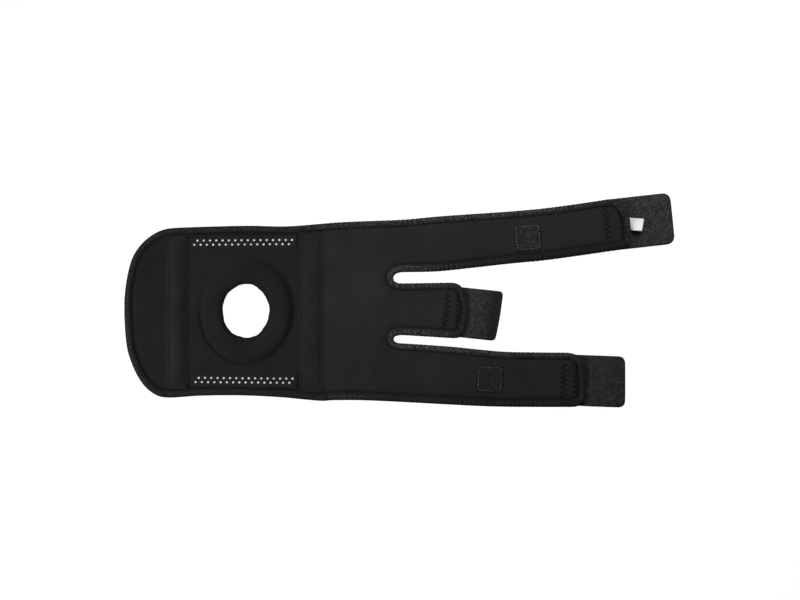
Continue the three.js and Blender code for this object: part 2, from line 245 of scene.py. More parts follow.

# Flat pieces sewn on the inner face: x, y, length, width, turn in degrees, and how much darker their whole
# face is
GRIP_STRIPS = {
    "grip_strip_upper": (-187.6, 69.6, 129, 17.6, 0.4, 0),
    "grip_strip_lower": (-186.4, -95.6, 128, 17.6, -0.5, 0),
}
STRAP_PATCHES = {
    "strap_patch_upper": (153.2, 75.4, 30.5, 30.5, 6, 0),
    "strap_patch_lower": (107.6, -94, 30, 31, -2.5, 0.22),
}
CUT_CORNER = 1.2
FACE_STITCH = 1.5  # from a flat piece's edge to its row of stitches
FACE_ROW_WIDTH = 0.7
FACE_ROW_DIP = 0.2
FACE_BED = 0.2  # how far flat pieces sink into the panel's nap
FACE_RIM = (0.7, 0.04)  # width of their rounded edge, and least share of the thickness
FACE_PUFF = (0.12, 3.5)  # ripple along their rim: height and width
PUFF_WAVE = (1.9, 1.3, 3)  # length along the piece, and how far and over what width the ripple wanders
PILE_BORDER = 2.2  # from their edge to their standing pile
PATCH_PILE = 0.12  # how uneven the patches' pile stands
# Painted shade of flat pieces: along their row, in needle holes and at the cut edge
FACE_ROW_CREASE = 0.3
FACE_HOLE_CREASE = 0.8
FACE_EDGE_CREASE = 0.6
CUT_EDGE = 0.2  # width of that edge

# Raised anti-slip dots, in two staggered rows along each strip
DOT_RADIUS = 1.2
DOT_HEIGHT = 0.5
DOT_PITCH = 7.5
DOT_ROW = 2.5  # distance of each row from the strip's middle
DOT_MARGIN = 6.0  # bare length at each end of the strip
DOT_SIDES = 24
DOT_RIM = 0.04  # least share of a dot's height, squared, at its rim

# Hook tabs: x and y of the sewn end's middle, length, width, turn in degrees, then corner, slant and bow of
# the free end
HOOK_TABS = {
    "hook_tab_upper": (250, 90.2, 77.6, 61.8, 6.4, 11, 0.6, 0.2),
    "hook_tab_middle": (56, -12.3, 63.6, 60, -6, 5.5, 3.6, 1.6),
    "hook_tab_lower": (196, -95.1, 74.4, 61.4, -2.1, 9, -2.2, 0.3),
}
# Where each tab comes out from under its strap, how far it bulges up there, and the length where its hooks
# thin out
TAB_BULGE = {
    "hook_tab_upper": (25, 0.7, 1.0),
    "hook_tab_middle": (22, 3.9, 24.0),
    "hook_tab_lower": (25, 2.6, 1.0),
}
TAB_CLEAR = 0.12  # from the floor to a tab's underside
TAB_UNDER_STRAP = 0.5  # how much higher its sewn end lies
TAB_REST = 6  # length at the free end that lies on the floor
TAB_RISES = (-3, 9)  # where the bulge starts and is full, from where the tab comes out
TAB_FALLS = 18  # length at the free end over which the bulge goes down
TAB_RIM = (0.8, 0.1)  # width of the rounded edge, and least share of the thickness
TAB_BEAD = (0.25, 1.1, 0.6)  # welded bead along the edge: height, distance from the edge and width
# Painted shade of a tab: beside the bead, at the edge and at a bare end, and the label's painted shadow
BEAD_CREASE = (0.5, 2.0, 0.4)  # strength, distance from the edge and width
TAB_EDGE_CREASE = (0.5, 0.5)  # strength and width
BARE_CREASE = 0.6
LABEL_PAINTED_SHADOW = 0.7
HOOKS_LEFT = 0.93
HOOKS_GONE = 0.2  # share of the thinned length that has no hooks at all
HOOKS_BACK = 14  # how far back hooks reach beside a strap's cut corner
HOOKS_ASIDE = 1  # how far they keep from the strap there
HOOK_PITCH = (1.7, 1.15)
HOOK_BORDER = 1.9
HOOK_RADIUS = 0.13
HOOK_SIDES = 4
HOOK_STRAY = 0.24  # how far hooks stand off their rows
HOOK_LEAN = 0.3
HOOK_HEIGHTS = (0.75, 1.1)
# A hook's own line: forward and up
HOOK_LINE = [(0, -0.1), (0, 0.5), (0.1, 0.88), (0.36, 1.1), (0.66, 0.98), (0.76, 0.68)]

# Rows of zigzag across the strap ends: x and y of the middle, half length, turn in degrees
ZIGZAGS = [
    (248.2, 91.7, 19.5, 6.4), (266.4, 92.6, 18, 6.4),
    (56.1, -13.2, 20.5, -7), (70.8, -12.8, 18.5, -3),
    (196.6, -97.2, 19, -1), (212, -97.8, 18.5, -3.5),
]
ZIGZAG_PERIOD = 6.0
ZIGZAG_WIDTH = 3.7
ZIGZAG_GAP = 0.06  # share of half a leg that is hidden at each end
ZIGZAG_HOLE = 1.2
ZIGZAG_DIP = 1.1

THREAD_RADIUS = 0.26
THREAD_SIDES = 6
# A stitch's own line: share of its length, rise and thickness
STITCH_LINE = [(0, -0.22, 0.7), (0.18, 0.06, 1), (0.5, 0.14, 1), (0.82, 0.06, 1), (1, -0.22, 0.7)]
NEEDLE_HOLE = 0.65
# Height of threads: on the pockets over the panel's full face, elsewhere over where sewn pieces start
POCKET_THREAD = 0.1
RING_THREAD = 0.25
FACE_THREAD = 0.3
STITCH = 3.0
STITCH_GAP = 0.5
SEAM_STITCH = 4.2
SEAM_GAP = 1.8
PATCH_STITCH = 3.6
PATCH_GAP = 1.4
SEAM_ENDS = (-112, 85)
SEAM_ASIDE = 0.5  # from the seam to the row of stitches beside it

# How the panel gives under its sewing
EDGE_RIPPLE = (0.16, 9, 3)  # ripple left by the tape's puckers: height, distance from the edge and width
OUTER_PRESS = 0.45  # share of a row's depth that shows on the outer face
SEAM_DIP = 0.4  # groove of the seam in the outer face
SEAM_WIDTH = 3.0
LEAN_WIDTH = 2.5
PANEL_EDGE = 1.6  # from the binding's fold to the panel's own edge
TAPE_ROWS = (6.8, 8.0, 9.4)  # insets at which the panel is cut finely, beside the tape
# Painted shade of the panel: at sewn rows, at the seam, in the zigzags' needle holes and beside the tape
PRESS_CREASE = 0.8
SEAM_CREASE = 0.1
ZIGZAG_CREASE = 1.3
TAPE_CREASE_WIDTH = 1.9
# Painted pool of light in the wrap's middle, which makes it paler: place, spread along x and y, and strength
WRAP_PAINTED_LIGHT_PLACE = (-46, 4)
WRAP_PAINTED_LIGHT_SPREAD = (52, 46)
WRAP_PAINTED_LIGHT = 0.24

# Size label: x and y where it leaves the strap, length, width, turn in degrees, length caught under the strap
# and lift of its raised side
LABEL = (275.6, 91.6, 19.6, 15, -4.5, 4.5, 4.6)
LABEL_PLY = 0.26
LABEL_SHADE = 3.4  # width of the painted shadow beside its raised side, where no hooks stand
LABEL_BORDER = 0.6  # and beside its other sides
LABEL_ROOT = 1.9  # height at which it leaves the strap
LABEL_LIFTS = (0.4, 0.6)  # shares of the lift along the label and across it
LABEL_PLIES = (0.55, 0.25)  # distance between its plies at the strap, and how much more at the fold
LABEL_FOLD = [(0.35, 0.12), (0.45, 0.4), (0.3, 0.7)]  # line of the fold: forward and up
LABEL_SLANT = 0.9
LABEL_STEPS = (22, 16)  # along and across
LABEL_LEAVES = (-1, 5)  # where the raised side starts to rise and is up


# Curves and loops

def smoothstep(low, high, value):
    share = np.clip((value - low) / (high - low), 0, 1)
    return share * share * (3 - 2 * share)


def bump(value, middle, width):
    """A smooth bump of height 1 at a middle, which fades out over a width."""
    return np.exp(-(((value - middle) / width) ** 2))


def spline_through(rows, steps=12):
    """Points of a smooth curve through the rows, without the first row."""
    rows = np.asarray(rows, float)
    padded = np.vstack([rows[:1], rows, rows[-1:]])
    points = []
    for before, start, end, after in zip(padded, padded[1:], padded[2:], padded[3:]):
        for share in np.arange(1, steps + 1) / steps:
            leave, arrive = (end - before) / 2, (after - start) / 2
            points.append(
                (2 * start - 2 * end + leave + arrive) * share**3
                + (3 * end - 3 * start - 2 * leave - arrive) * share**2
                + leave * share
                + start
            )
    return points


def bend(start, corner, end, steps=10):
    """Points of a curve that rounds a corner, without its first point."""
    start, corner, end = (np.asarray(point, float) for point in (start, corner, end))
    shares = np.arange(1, steps + 1) / steps
    return [start * (1 - t) ** 2 + corner * 2 * t * (1 - t) + end * t**2 for t in shares]


def strap_end(last, rows, following):
    first_corner, start, middle, end, second_corner = rows
    return (
        bend(last, first_corner, start) + bend(start, middle, end) + bend(end, second_corner, following)
    )


def slot_root(last, root, following):
    x, y = root
    return bend(last, (x, last[1]), root) + bend(root, (x, following[1]), following)


def resampled(line, step, closed=False):
    """Evenly spaced points along a line, both ends included unless it is closed."""
    line = np.asarray(line, float)
    if closed:
        line = np.vstack([line, line[:1]])
    lengths = np.r_[0, np.cumsum(np.linalg.norm(np.diff(line, axis=0), axis=1))]
    count = max(1, round(lengths[-1] / step))
    places = np.arange(count if closed else count + 1) * lengths[-1] / count
    return np.column_stack([np.interp(places, lengths, line[:, axis]) for axis in range(line.shape[1])])


def rounded_rim(from_edge, width, least):
    """Share of a sheet's thickness near its rounded edge."""
    return np.sqrt(np.clip(from_edge / width, least, 1))


def inwards(loop):
    """Unit vectors to the left of an anticlockwise loop's own direction."""
    along = np.roll(loop, -1, axis=0) - np.roll(loop, 1, axis=0)
    left = np.column_stack([-along[:, 1], along[:, 0]])
    return left / np.linalg.norm(left, axis=1, keepdims=True)


def binding_outline():
    """The outer edge of the binding, anticlockwise from the top of the flap."""
    points = [FLAP_END[0]]
    points += spline_through(FLAP_END + BOTTOM_EDGE)
    points += strap_end(BOTTOM_EDGE[-1], STRAP_ENDS["lower"], LOWER_STRAP_TOP[0])
    points += spline_through(LOWER_STRAP_TOP)
    points += slot_root(LOWER_STRAP_TOP[-1], SLOT_ROOTS["lower"], MIDDLE_STRAP_BOTTOM[0])
    points += spline_through(MIDDLE_STRAP_BOTTOM)
    points += strap_end(MIDDLE_STRAP_BOTTOM[-1], STRAP_ENDS["middle"], MIDDLE_STRAP_TOP[0])
    points += spline_through(MIDDLE_STRAP_TOP)
    points += slot_root(MIDDLE_STRAP_TOP[-1], SLOT_ROOTS["upper"], UPPER_STRAP_BOTTOM[0])
    points += spline_through(UPPER_STRAP_BOTTOM)
    points += strap_end(UPPER_STRAP_BOTTOM[-1], STRAP_ENDS["upper"], TOP_EDGE[0])
    points += spline_through(TOP_EDGE + FLAP_END[:1])[:-1]
    loop = resampled(points, EDGE_STEP, closed=True)
    for _ in range(EVENING):
        loop = (np.roll(loop, 1, axis=0) + 2 * loop + np.roll(loop, -1, axis=0)) / 4
    return loop


def turned(points, x, y, turn):
    """Points about their own origin, turned by degrees and moved to x and y."""
    angle = math.radians(turn)
    turn_by = np.array([[math.cos(angle), math.sin(angle)], [-math.sin(angle), math.cos(angle)]])
    return np.asarray(points, float) @ turn_by + (x, y)


def unturned(points, x, y, turn):
    """Points of the part's frame, as seen from a piece's own origin and turn."""
    return turned(np.asarray(points, float) - (x, y), 0, 0, -turn)


def rounded_loop(corners, step):
    """A loop of straight sides with rounded corners, given as x, y and radius of each corner."""
    places = np.array([corner[:2] for corner in corners], float)
    points = []
    for i, here in enumerate(places):
        radius = corners[i][2]
        to_last = places[i - 1] - here
        to_next = places[(i + 1) % len(places)] - here
        start = here + to_last * radius / np.linalg.norm(to_last)
        end = here + to_next * radius / np.linalg.norm(to_next)
        points += [start] + bend(start, here, end)
    return resampled(points, step, closed=True)


def rectangle(length, width, corner, step):
    a, b = length / 2, width / 2
    return rounded_loop([(-a, -b, corner), (a, -b, corner), (a, b, corner), (-a, b, corner)], step)


# How the sheet lies

def lie(x):
    places, heights = np.array(LIE, float).T
    row = np.clip(np.searchsorted(places, x) - 1, 0, len(places) - 2)
    rise = heights[row + 1] - heights[row]
    return heights[row] + rise * smoothstep(places[row], places[row + 1], x)


def swell(x, y):
    height = 0
    for share, x_wave, y_wave, phase in SWELL:
        height = height + share * (1 + np.sin(2 * math.pi * (x / x_wave + y / y_wave) + phase))
    return height


def underside(x, y):
    """Height of the sheet's underside before it is squeezed or sewn."""
    return lie(x) + swell(x, y)


OUTLINE = binding_outline()
OUTLINE_INWARDS = inwards(OUTLINE)
TAPE_SHARE = TAPE_SPREAD[0] + TAPE_SPREAD[1] * OUTLINE_INWARDS[:, 1]
EDGE_LENGTH = len(OUTLINE) * EDGE_STEP


def tree_of(points):
    tree = KDTree(len(points))
    for i, (x, y) in enumerate(points):
        tree.insert((x, y, 0), i)
    tree.balance()
    return tree


def nearest(tree, points):
    """Index of and distance to the nearest point of a tree."""
    found = [tree.find((x, y, 0)) for x, y in points]
    return np.array([row[1] for row in found]), np.array([row[2] for row in found])


EDGE_TREE = tree_of(OUTLINE)
EDGE_PLACES = np.arange(len(OUTLINE)) * EDGE_STEP


def inset_edge(depth):
    """The edge moved inwards by a depth, scaled to the tape's width there."""
    return OUTLINE + OUTLINE_INWARDS * (depth * TAPE_SHARE)[:, None]


def edge_depth(points):
    """Index of the nearest point of the edge, and the depth inside it, scaled to the tape's usual width."""
    index, depth = nearest(EDGE_TREE, points)
    return index, depth / TAPE_SHARE[index]


def strap_end_share():
    """Share from 0 to 1 by which each point of the edge belongs to a strap's end."""
    share = np.zeros(len(OUTLINE))
    for _, start, _, end, _ in STRAP_ENDS.values():
        reach = np.linalg.norm(np.subtract(start, end)) * END_REACH
        away = np.linalg.norm(OUTLINE - np.add(start, end) / 2, axis=1)
        share = np.maximum(share, 1 - smoothstep(reach, reach + END_FADE, away))
    return share


ON_BOTTOM = 1 - smoothstep(*BOTTOM_EDGE_TO, OUTLINE[:, 1])
ON_UPPER_STRAP = OUTLINE[:, 1] > UPPER_STRAP_FROM


def gathered_share():
    """Share of the puckers along the edge. The body, the bottom and two strap ends are sewn flatter."""
    along_wrap = BODY_GATHER + (1 - BODY_GATHER) * smoothstep(*GATHER_GROWS, OUTLINE[:, 0])
    at_ends = np.where(ON_UPPER_STRAP, 0, FLAT_END) * strap_end_share()
    return along_wrap * (1 - at_ends) * (1 - FLAT_BOTTOM * ON_BOTTOM)


def darker_tape():
    """How much darker the tape is along the edge, and paler below 0: painted shade and painted light by where
    each edge lies and which way it faces, and plainly darker along the body and paler along the lower slot.
    """
    x, y = OUTLINE.T
    facing_down = smoothstep(*FACING, OUTLINE_INWARDS[:, 1])
    facing_up = smoothstep(*FACING, -OUTLINE_INWARDS[:, 1])
    on_body = BODY_DARKER * (1 - smoothstep(*BODY_FADE, x))
    on_bottom = np.interp(x, *zip(*BOTTOM_PAINTED_SHADE)) * ON_BOTTOM
    under_strap = np.interp(x, *zip(*UNDER_STRAP_PAINTED_SHADE)) * facing_down * ON_UPPER_STRAP
    in_slot = SLOT_PALER * (y < LOWER_STRAP_TO) * (1 - smoothstep(*SLOT_FADE, x))
    on_top = np.where(y > TOP_EDGE_FROM, np.interp(x, *zip(*TOP_PAINTED_SHADE)), in_slot) * facing_up * (x > 0)
    at_ends = np.where(ON_UPPER_STRAP, UPPER_END_PAINTED_SHADE, END_PAINTED_SHADE) * strap_end_share()
    return on_body + on_bottom + under_strap + on_top + at_ends


GATHERED = gathered_share()
DARKER = darker_tape()


def uneven_along(place, pitch, low, high, seed):
    """Smooth random values along the edge."""
    count = round(EDGE_LENGTH / pitch)
    values = np.random.default_rng(seed).uniform(low, high, count)
    at = place / EDGE_LENGTH * count
    first = np.floor(at).astype(int)
    share = smoothstep(0, 1, at - first)
    return values[first % count] * (1 - share) + values[(first + 1) % count] * share


def pucker(place, across):
    """Share from -1 to 1 by which the tape is gathered up, at a place along the edge."""
    pitch = EDGE_LENGTH / round(EDGE_LENGTH / PUCKER_PITCH)
    wander = uneven_along(place, *PUCKER_WANDER)
    strength = uneven_along(place, *PUCKER_STRENGTH) * np.interp(place, EDGE_PLACES, GATHERED)
    valley = np.cos(math.pi * (place + PUCKER_LEAN * across) / pitch + wander / 2) ** 2
    return strength * (1 - 2 * valley**2)


# Rows of stitches, as starts and ends of each stitch

def stitches_along(line, closed=False, pitch=STITCH, gap=STITCH_GAP):
    places = resampled(line, pitch, closed)
    if closed:
        places = np.vstack([places, places[:1]])
    starts, ends = places[:-1], places[1:]
    inset = (ends - starts) * gap / 2 / pitch
    return starts + inset, ends - inset


def zigzag_corners(x, y, half_length, turn):
    legs = round(4 * half_length / ZIGZAG_PERIOD)
    along = np.linspace(-half_length, half_length, legs + 1)
    across = np.where(np.arange(legs + 1) % 2, 0.5, -0.5) * ZIGZAG_WIDTH
    return turned(np.column_stack([across, along]), x, y, turn)


def zigzag(*row):
    corners = zigzag_corners(*row)
    middles = (corners[:-1] + corners[1:]) / 2
    starts = np.concatenate([corners[:-1], middles])
    ends = np.concatenate([middles, corners[1:]])
    inset = (ends - starts) * ZIGZAG_GAP
    return starts + inset, ends - inset


def beside_stitches(row):
    """Close points along a row, where the cloth dips at each needle hole."""
    starts, ends = row
    along = ends - starts
    side = np.column_stack([-along[:, 1], along[:, 0]]) / np.linalg.norm(along, axis=1, keepdims=True)
    shares, offsets = np.meshgrid([0, 0.33, 0.67, 1], [-0.8, 0, 0.8])
    on_row = starts[:, None] + along[:, None] * shares.ravel()[:, None]
    return (on_row + side[:, None] * offsets.ravel()[:, None]).reshape(-1, 2)


def needle_holes(points, row):
    """Share from 0 to 1 by which points lie in a row's needle holes."""
    return bump(nearest(tree_of(np.concatenate(row)), points)[1], 0, NEEDLE_HOLE)


def rows_joined(rows):
    return tuple(np.concatenate(parts) for parts in zip(*rows))


def ellipse(radius, step):
    angle = np.linspace(0, 2 * math.pi, ELLIPSE_SIDES, endpoint=False)
    loop = np.column_stack([radius * np.cos(angle), radius * KNEECAP_STRETCH * np.sin(angle)])
    return resampled(loop + KNEECAP, step, closed=True)


def pocket_lines(left, right):
    """Where the rows of stitches down a pocket's sides are."""
    tuck = SEAM_TUCK if right > BY_SEAM else 0
    return left + POCKET_STITCH[0], right - POCKET_STITCH[1] - tuck


def row_width(line):
    """How wide the dip along a pocket's row of stitches is."""
    return SEAM_ROW_WIDTH if line > BY_SEAM else POCKET_ROW_WIDTH


def pocket_rows():
    """Rows down both sides of each pocket. The one beside the seam has longer stitches."""
    for left, right, top, bottom, _ in POCKETS.values():
        for x in pocket_lines(left, right):
            line = [(x, bottom + POCKET_ROW_END), (x, top - POCKET_ROW_END)]
            if x > BY_SEAM:
                yield stitches_along(line, False, SEAM_STITCH, SEAM_GAP)
            else:
                yield stitches_along(line)


def inner_loop(row):
    """The loop of stitches inside a flat piece's edge."""
    x, y, length, width, turn, _ = row
    corners = rectangle(length - 2 * FACE_STITCH, width - 2 * FACE_STITCH, CUT_CORNER, EDGE_STEP)
    return turned(corners, x, y, turn)


SEAM_LINE = [(SEAM_X + SEAM_ASIDE, y) for y in SEAM_ENDS]
BINDING_ROW = stitches_along(inset_edge(TAPE_STITCH), closed=True)
POCKET_ROWS = rows_joined(list(pocket_rows()))
RING_STITCHES = stitches_along(ellipse(RING_ROW, EDGE_STEP), closed=True)
STRIP_ROWS = rows_joined([stitches_along(inner_loop(row), True) for row in GRIP_STRIPS.values()])
PATCH_ROWS = rows_joined([
    stitches_along(inner_loop(row), True, PATCH_STITCH, PATCH_GAP) for row in STRAP_PATCHES.values()
])
SEAM_ROW = stitches_along(SEAM_LINE, False, SEAM_STITCH, SEAM_GAP)
ZIGZAG_ROWS = rows_joined([zigzag(*row) for row in ZIGZAGS])

# Rows that press the panel: their stitches, how deep and how widely they press it
PRESSING = [
    (POCKET_ROWS, 0.7, 1.5),
    (RING_STITCHES, 0.8, 1.5),
    (STRIP_ROWS, 0.5, 1.5),
    (PATCH_ROWS, 0.6, 1.5),
    (SEAM_ROW, 0.15, 1.3),
    (ZIGZAG_ROWS, 0.9, 1.1),
]
PANEL_HOLES = tree_of(np.concatenate([zigzag_corners(*row) for row in ZIGZAGS]))


def pressing_points():
    """Points along those rows, with the depth and width of each."""
    places, sizes = [], []
    for (starts, ends), depth, width in PRESSING:
        for share in (0, 0.5, 1):
            places.append(starts + (ends - starts) * share)
            sizes.append(np.full((len(starts), 2), (depth, width)))
    return np.concatenate(places), np.concatenate(sizes)


PRESS_PLACES, PRESS_SIZES = pressing_points()
PRESS_TREE = tree_of(PRESS_PLACES)


def pressed(points):
    """Depth to which rows of stitches press the panel."""
    index, distance = nearest(PRESS_TREE, points)
    depth, width = PRESS_SIZES[index].T
    return depth * bump(distance, 0, width)


def panel_faces(points):
    """Heights of the panel's inner and outer face, and its painted shade in creases, less a painted pool of
    light.
    """
    x, y = points.T
    index, depth = edge_depth(points)
    squeeze = 1 - smoothstep(BINDING_WIDTH - 1, SHOULDER, depth)
    height, inset, width = EDGE_RIPPLE
    ripple = height * pucker(index * EDGE_STEP, BINDING_WIDTH) * bump(depth, inset, width)
    seam = bump(x, SEAM_X, SEAM_WIDTH)
    press = pressed(points)
    base = underside(x, y)
    holes = bump(nearest(PANEL_HOLES, points)[1], 0, ZIGZAG_HOLE)
    top = base + PANEL_THICKNESS - squeeze * (PANEL_THICKNESS - SQUEEZED_TOP) + ripple - press
    top = top - ZIGZAG_DIP * holes
    bottom = base + CLEAR + squeeze * (SQUEEZED_BOTTOM - CLEAR) + OUTER_PRESS * press + SEAM_DIP * seam
    # painted shade beside the tape, along sewn rows, at the seam and in needle holes
    beside_tape = bump(depth, BINDING_WIDTH, TAPE_CREASE_WIDTH)
    painted_shades = PRESS_CREASE * press + SEAM_CREASE * seam + beside_tape + ZIGZAG_CREASE * holes
    # a painted pool of light in the wrap's middle
    off_x, off_y = (points - WRAP_PAINTED_LIGHT_PLACE).T / np.reshape(WRAP_PAINTED_LIGHT_SPREAD, (2, 1))
    return top, bottom, np.clip(painted_shades, 0, 1) - WRAP_PAINTED_LIGHT * np.exp(-(off_x**2) - off_y**2)


def tape_rise(points):
    """Height of the folded tape's face over the middle of its fold, and whether points lie under the tape."""
    insets, heights = np.array(TAPE_SECTION[:0:-1]).T
    depth = edge_depth(points)[1]
    return np.interp(depth, insets, heights) - BINDING_MIDDLE, depth < BINDING_WIDTH + TAPE_LIP


def inner_face(points):
    """Height of the inner face, tape included."""
    rise, under_tape = tape_rise(points)
    top = panel_faces(points)[0]
    return np.where(under_tape, np.maximum(top, underside(*points.T) + BINDING_MIDDLE + rise), top)


def outer_face(points):
    """Height of the outer face, tape included."""
    rise, under_tape = tape_rise(points)
    bottom = panel_faces(points)[1]
    return np.where(under_tape, np.minimum(bottom, underside(*points.T) + BINDING_MIDDLE - rise), bottom)


# Meshes

def outward(points, faces):
    """The faces of a closed body, turned to point out of it."""
    a, b, c = (points[faces[:, i]] for i in range(3))
    volume = (a * np.cross(b, c)).sum()
    if faces.shape[1] == 4:
        volume += (a * np.cross(c, points[faces[:, 3]])).sum()
    return faces if volume > 0 else faces[:, ::-1]


def piece(name, points, faces, materials, outer=None, painted_shades=None, tape=None, cut=None):
    """A mesh that rides on the support. Points are in millimetres. Outer marks faces of the second material.

    Cut marks the faces of a cut edge, which aren't smoothed.
    """
    points = np.asarray(points, float).reshape(-1, 3) * MM
    faces = np.asarray(faces)
    mesh = bpy.data.meshes.new(name)
    mesh.vertices.add(len(points))
    mesh.vertices.foreach_set("co", points.ravel())
    mesh.loops.add(faces.size)
    mesh.loops.foreach_set("vertex_index", faces.ravel().astype(np.int32))
    mesh.polygons.add(len(faces))
    mesh.polygons.foreach_set("loop_start", np.arange(len(faces), dtype=np.int32) * faces.shape[1])
    mesh.update(calc_edges=True)
    mesh.polygons.foreach_set("use_smooth", np.ones(len(faces), bool) if cut is None else ~cut)
    for material in materials:
        mesh.materials.append(material)
    if outer is not None:
        mesh.polygons.foreach_set("material_index", outer.astype(np.int32))
    # painted shade of creases and needle holes, painted light below 0, which the cloth materials read
    if painted_shades is not None:
        depths = mesh.attributes.new("painted_shade", "FLOAT", "POINT").data
        depths.foreach_set("value", np.asarray(painted_shades, np.float32))
    if tape is not None:
        mesh.uv_layers.new(name="tape").uv.foreach_set("vector", (tape * MM).ravel())
    made = bpy.data.objects.new(name, mesh)
    bpy.context.scene.collection.objects.link(made)
    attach(made, "root")
    return made


def grid_faces(rows, columns, rows_wrap=False, columns_wrap=False):
    row = np.arange(rows if rows_wrap else rows - 1)[:, None]
    column = np.arange(columns if columns_wrap else columns - 1)[None, :]
    next_row, next_column = (row + 1) % rows, (column + 1) % columns
    corners = [row * columns + column, next_row * columns + column]
    corners += [next_row * columns + next_column, row * columns + next_column]
    return np.stack([np.broadcast_to(c, corners[0].shape) for c in corners], axis=-1).reshape(-1, 4)


def inside(points, loops):
    """Which points lie inside the loops, where a loop in another is a hole."""
    crossings = np.zeros(len(points), int)
    for loop in loops:
        following = np.roll(loop, -1, axis=0)
        for part in np.array_split(np.arange(len(points)), max(1, len(points) // 3000)):
            x, y = points[part, 0][:, None], points[part, 1][:, None]
            spans = (loop[:, 1] > y) != (following[:, 1] > y)
            rise = np.where(following[:, 1] == loop[:, 1], 1, following[:, 1] - loop[:, 1])
            meets = loop[:, 0] + (y - loop[:, 1]) / rise * (following[:, 0] - loop[:, 0])
            crossings[part] += (spans & (x < meets)).sum(axis=1)
    return crossings % 2 == 1


def filled(loops, step, extra=None):
    """Evenly spread points and triangles inside the loops. Extra points are added where they keep clear."""
    low, high = loops[0].min(axis=0), loops[0].max(axis=0)
    columns = np.arange(low[0], high[0], step)
    rows = np.arange(low[1], high[1], step * math.sqrt(3) / 2)
    x, y = np.meshgrid(columns, rows)
    x = x + np.where(np.arange(len(rows)) % 2, step / 2, 0)[:, None]
    spread = np.column_stack([x.ravel(), y.ravel()])
    fixed = np.concatenate(loops)
    if extra is not None:
        extra = extra[nearest(tree_of(fixed), extra)[1] > step / 2]
        fixed = np.concatenate([fixed, extra[inside(extra, loops)]])
    spread = spread[inside(spread, loops)]
    spread = spread[nearest(tree_of(fixed), spread)[1] > step * SPREAD_CLEAR]
    edges, first = [], 0
    for loop in loops:
        edges += [(first + i, first + (i + 1) % len(loop)) for i in range(len(loop))]
        first += len(loop)
    corners = [Vector(point) for point in np.concatenate([fixed, spread])]
    points, _, faces = delaunay_2d_cdt(corners, edges, [], 0, 1e-5)[:3]
    points, faces = np.array(points), np.array(faces)
    faces = faces[inside(points[faces].mean(axis=1), loops)]
    return points, faces


def thickened(points, faces, top, bottom, lean=0):
    """A closed body between two heights over flat triangles, and which of its faces are its sides.

    Lean moves its lower points along x.
    """
    sides = np.concatenate([faces[:, [0, 1]], faces[:, [1, 2]], faces[:, [2, 0]]])
    keys = np.sort(sides, axis=1)
    _, first, uses = np.unique(keys, axis=0, return_index=True, return_counts=True)
    rim = sides[first[uses == 1]]
    count = len(points)
    walls = np.concatenate([
        np.column_stack([rim[:, 1], rim[:, 0], rim[:, 0] + count]),
        np.column_stack([rim[:, 1], rim[:, 0] + count, rim[:, 1] + count]),
    ])
    below = np.column_stack([points[:, 0] + lean, points[:, 1], bottom])
    body = np.concatenate([np.column_stack([points, top]), below])
    every = outward(body, np.concatenate([faces, faces[:, ::-1] + count, walls]))
    return body, every, np.arange(len(every)) >= 2 * len(faces)


def tubes(paths, across, radius, sides):
    """Closed tubes along flat paths. Across is a unit vector square to each path's plane."""
    count, rings = paths.shape[:2]
    along = np.gradient(paths, axis=1)
    along /= np.linalg.norm(along, axis=2, keepdims=True)
    flat = np.broadcast_to(across[:, None, :], along.shape)
    square = np.cross(flat, along)
    angle = 2 * math.pi * np.arange(sides) / sides
    ring = flat[:, :, None] * np.cos(angle)[:, None] + square[:, :, None] * np.sin(angle)[:, None]
    width = np.broadcast_to(np.asarray(radius, float), (rings,))[None, :, None, None]
    points = (paths[:, :, None] + ring * width).reshape(-1, 3)
    starts = np.arange(rings - 1)[:, None] * sides
    first = (starts + np.arange(sides)).ravel()
    following = (starts + (np.arange(sides) + 1) % sides).ravel()
    one = [np.column_stack([first, following, following + sides, first + sides])]
    for i in range(0, sides - 2, 2):
        lid = np.array([[0, i + 1, i + 2, (i + 3) % sides]])
        one += [lid[:, ::-1], lid + (rings - 1) * sides]
    one = np.concatenate(one)
    faces = (one[None] + (np.arange(count) * rings * sides)[:, None, None]).reshape(-1, 4)
    return points, outward(points, faces)


# Materials

def node(tree, kind, sockets=None, **settings):
    made = tree.nodes.new(kind)
    for key, value in settings.items():
        setattr(made, key, value)
    for key, value in (sockets or {}).items():
        if isinstance(value, bpy.types.NodeSocket):
            tree.links.new(value, made.inputs[key])
        else:
            made.inputs[key].default_value = value
    return made


def maths(tree, operation, *values):
    return node(tree, "ShaderNodeMath", dict(enumerate(values)), operation=operation).outputs[0]


def group(name, inputs, outputs):
    """A shader node group. Returns its tree, its input sockets and a function that sets an output."""
    tree = bpy.data.node_groups.new(name, "ShaderNodeTree")
    for label, kind in inputs.items():
        tree.interface.new_socket(label, in_out="INPUT", socket_type=kind)
    for label, kind in outputs.items():
        tree.interface.new_socket(label, in_out="OUTPUT", socket_type=kind)
    given = tree.nodes.new("NodeGroupInput").outputs
    result = tree.nodes.new("NodeGroupOutput").inputs
    return tree, given, lambda label, socket: tree.links.new(socket, result[label])


def placed(tree, shared, sockets):
    return node(tree, "ShaderNodeGroup", sockets, node_tree=shared).outputs


FLOAT, VECTOR, COLOUR = "NodeSocketFloat", "NodeSocketVector", "NodeSocketColor"
KNIT_SLOPE = 1.4  # how steep the V of a knit loop is
KNIT_COURSES = 1.3  # rows of loops to a loop's width
WEFT_HEIGHT = 0.25  # height of a tape's weft beside its ridges
FUZZ_SCALE = 700.0
LINT_SCALE = 260.0
LINT_FROM = 0.72  # only the tops of its noise show as lint
# how far a share of 1 of painted shade darkens a cloth's colour
PAINTED_SHADE_DEPTH = 0.8
DARKEST = 0.25  # least share of the dye's tone in uneven cloth
ROUGHNESS = (0.8, 0.16)  # least, and how much the fuzz adds


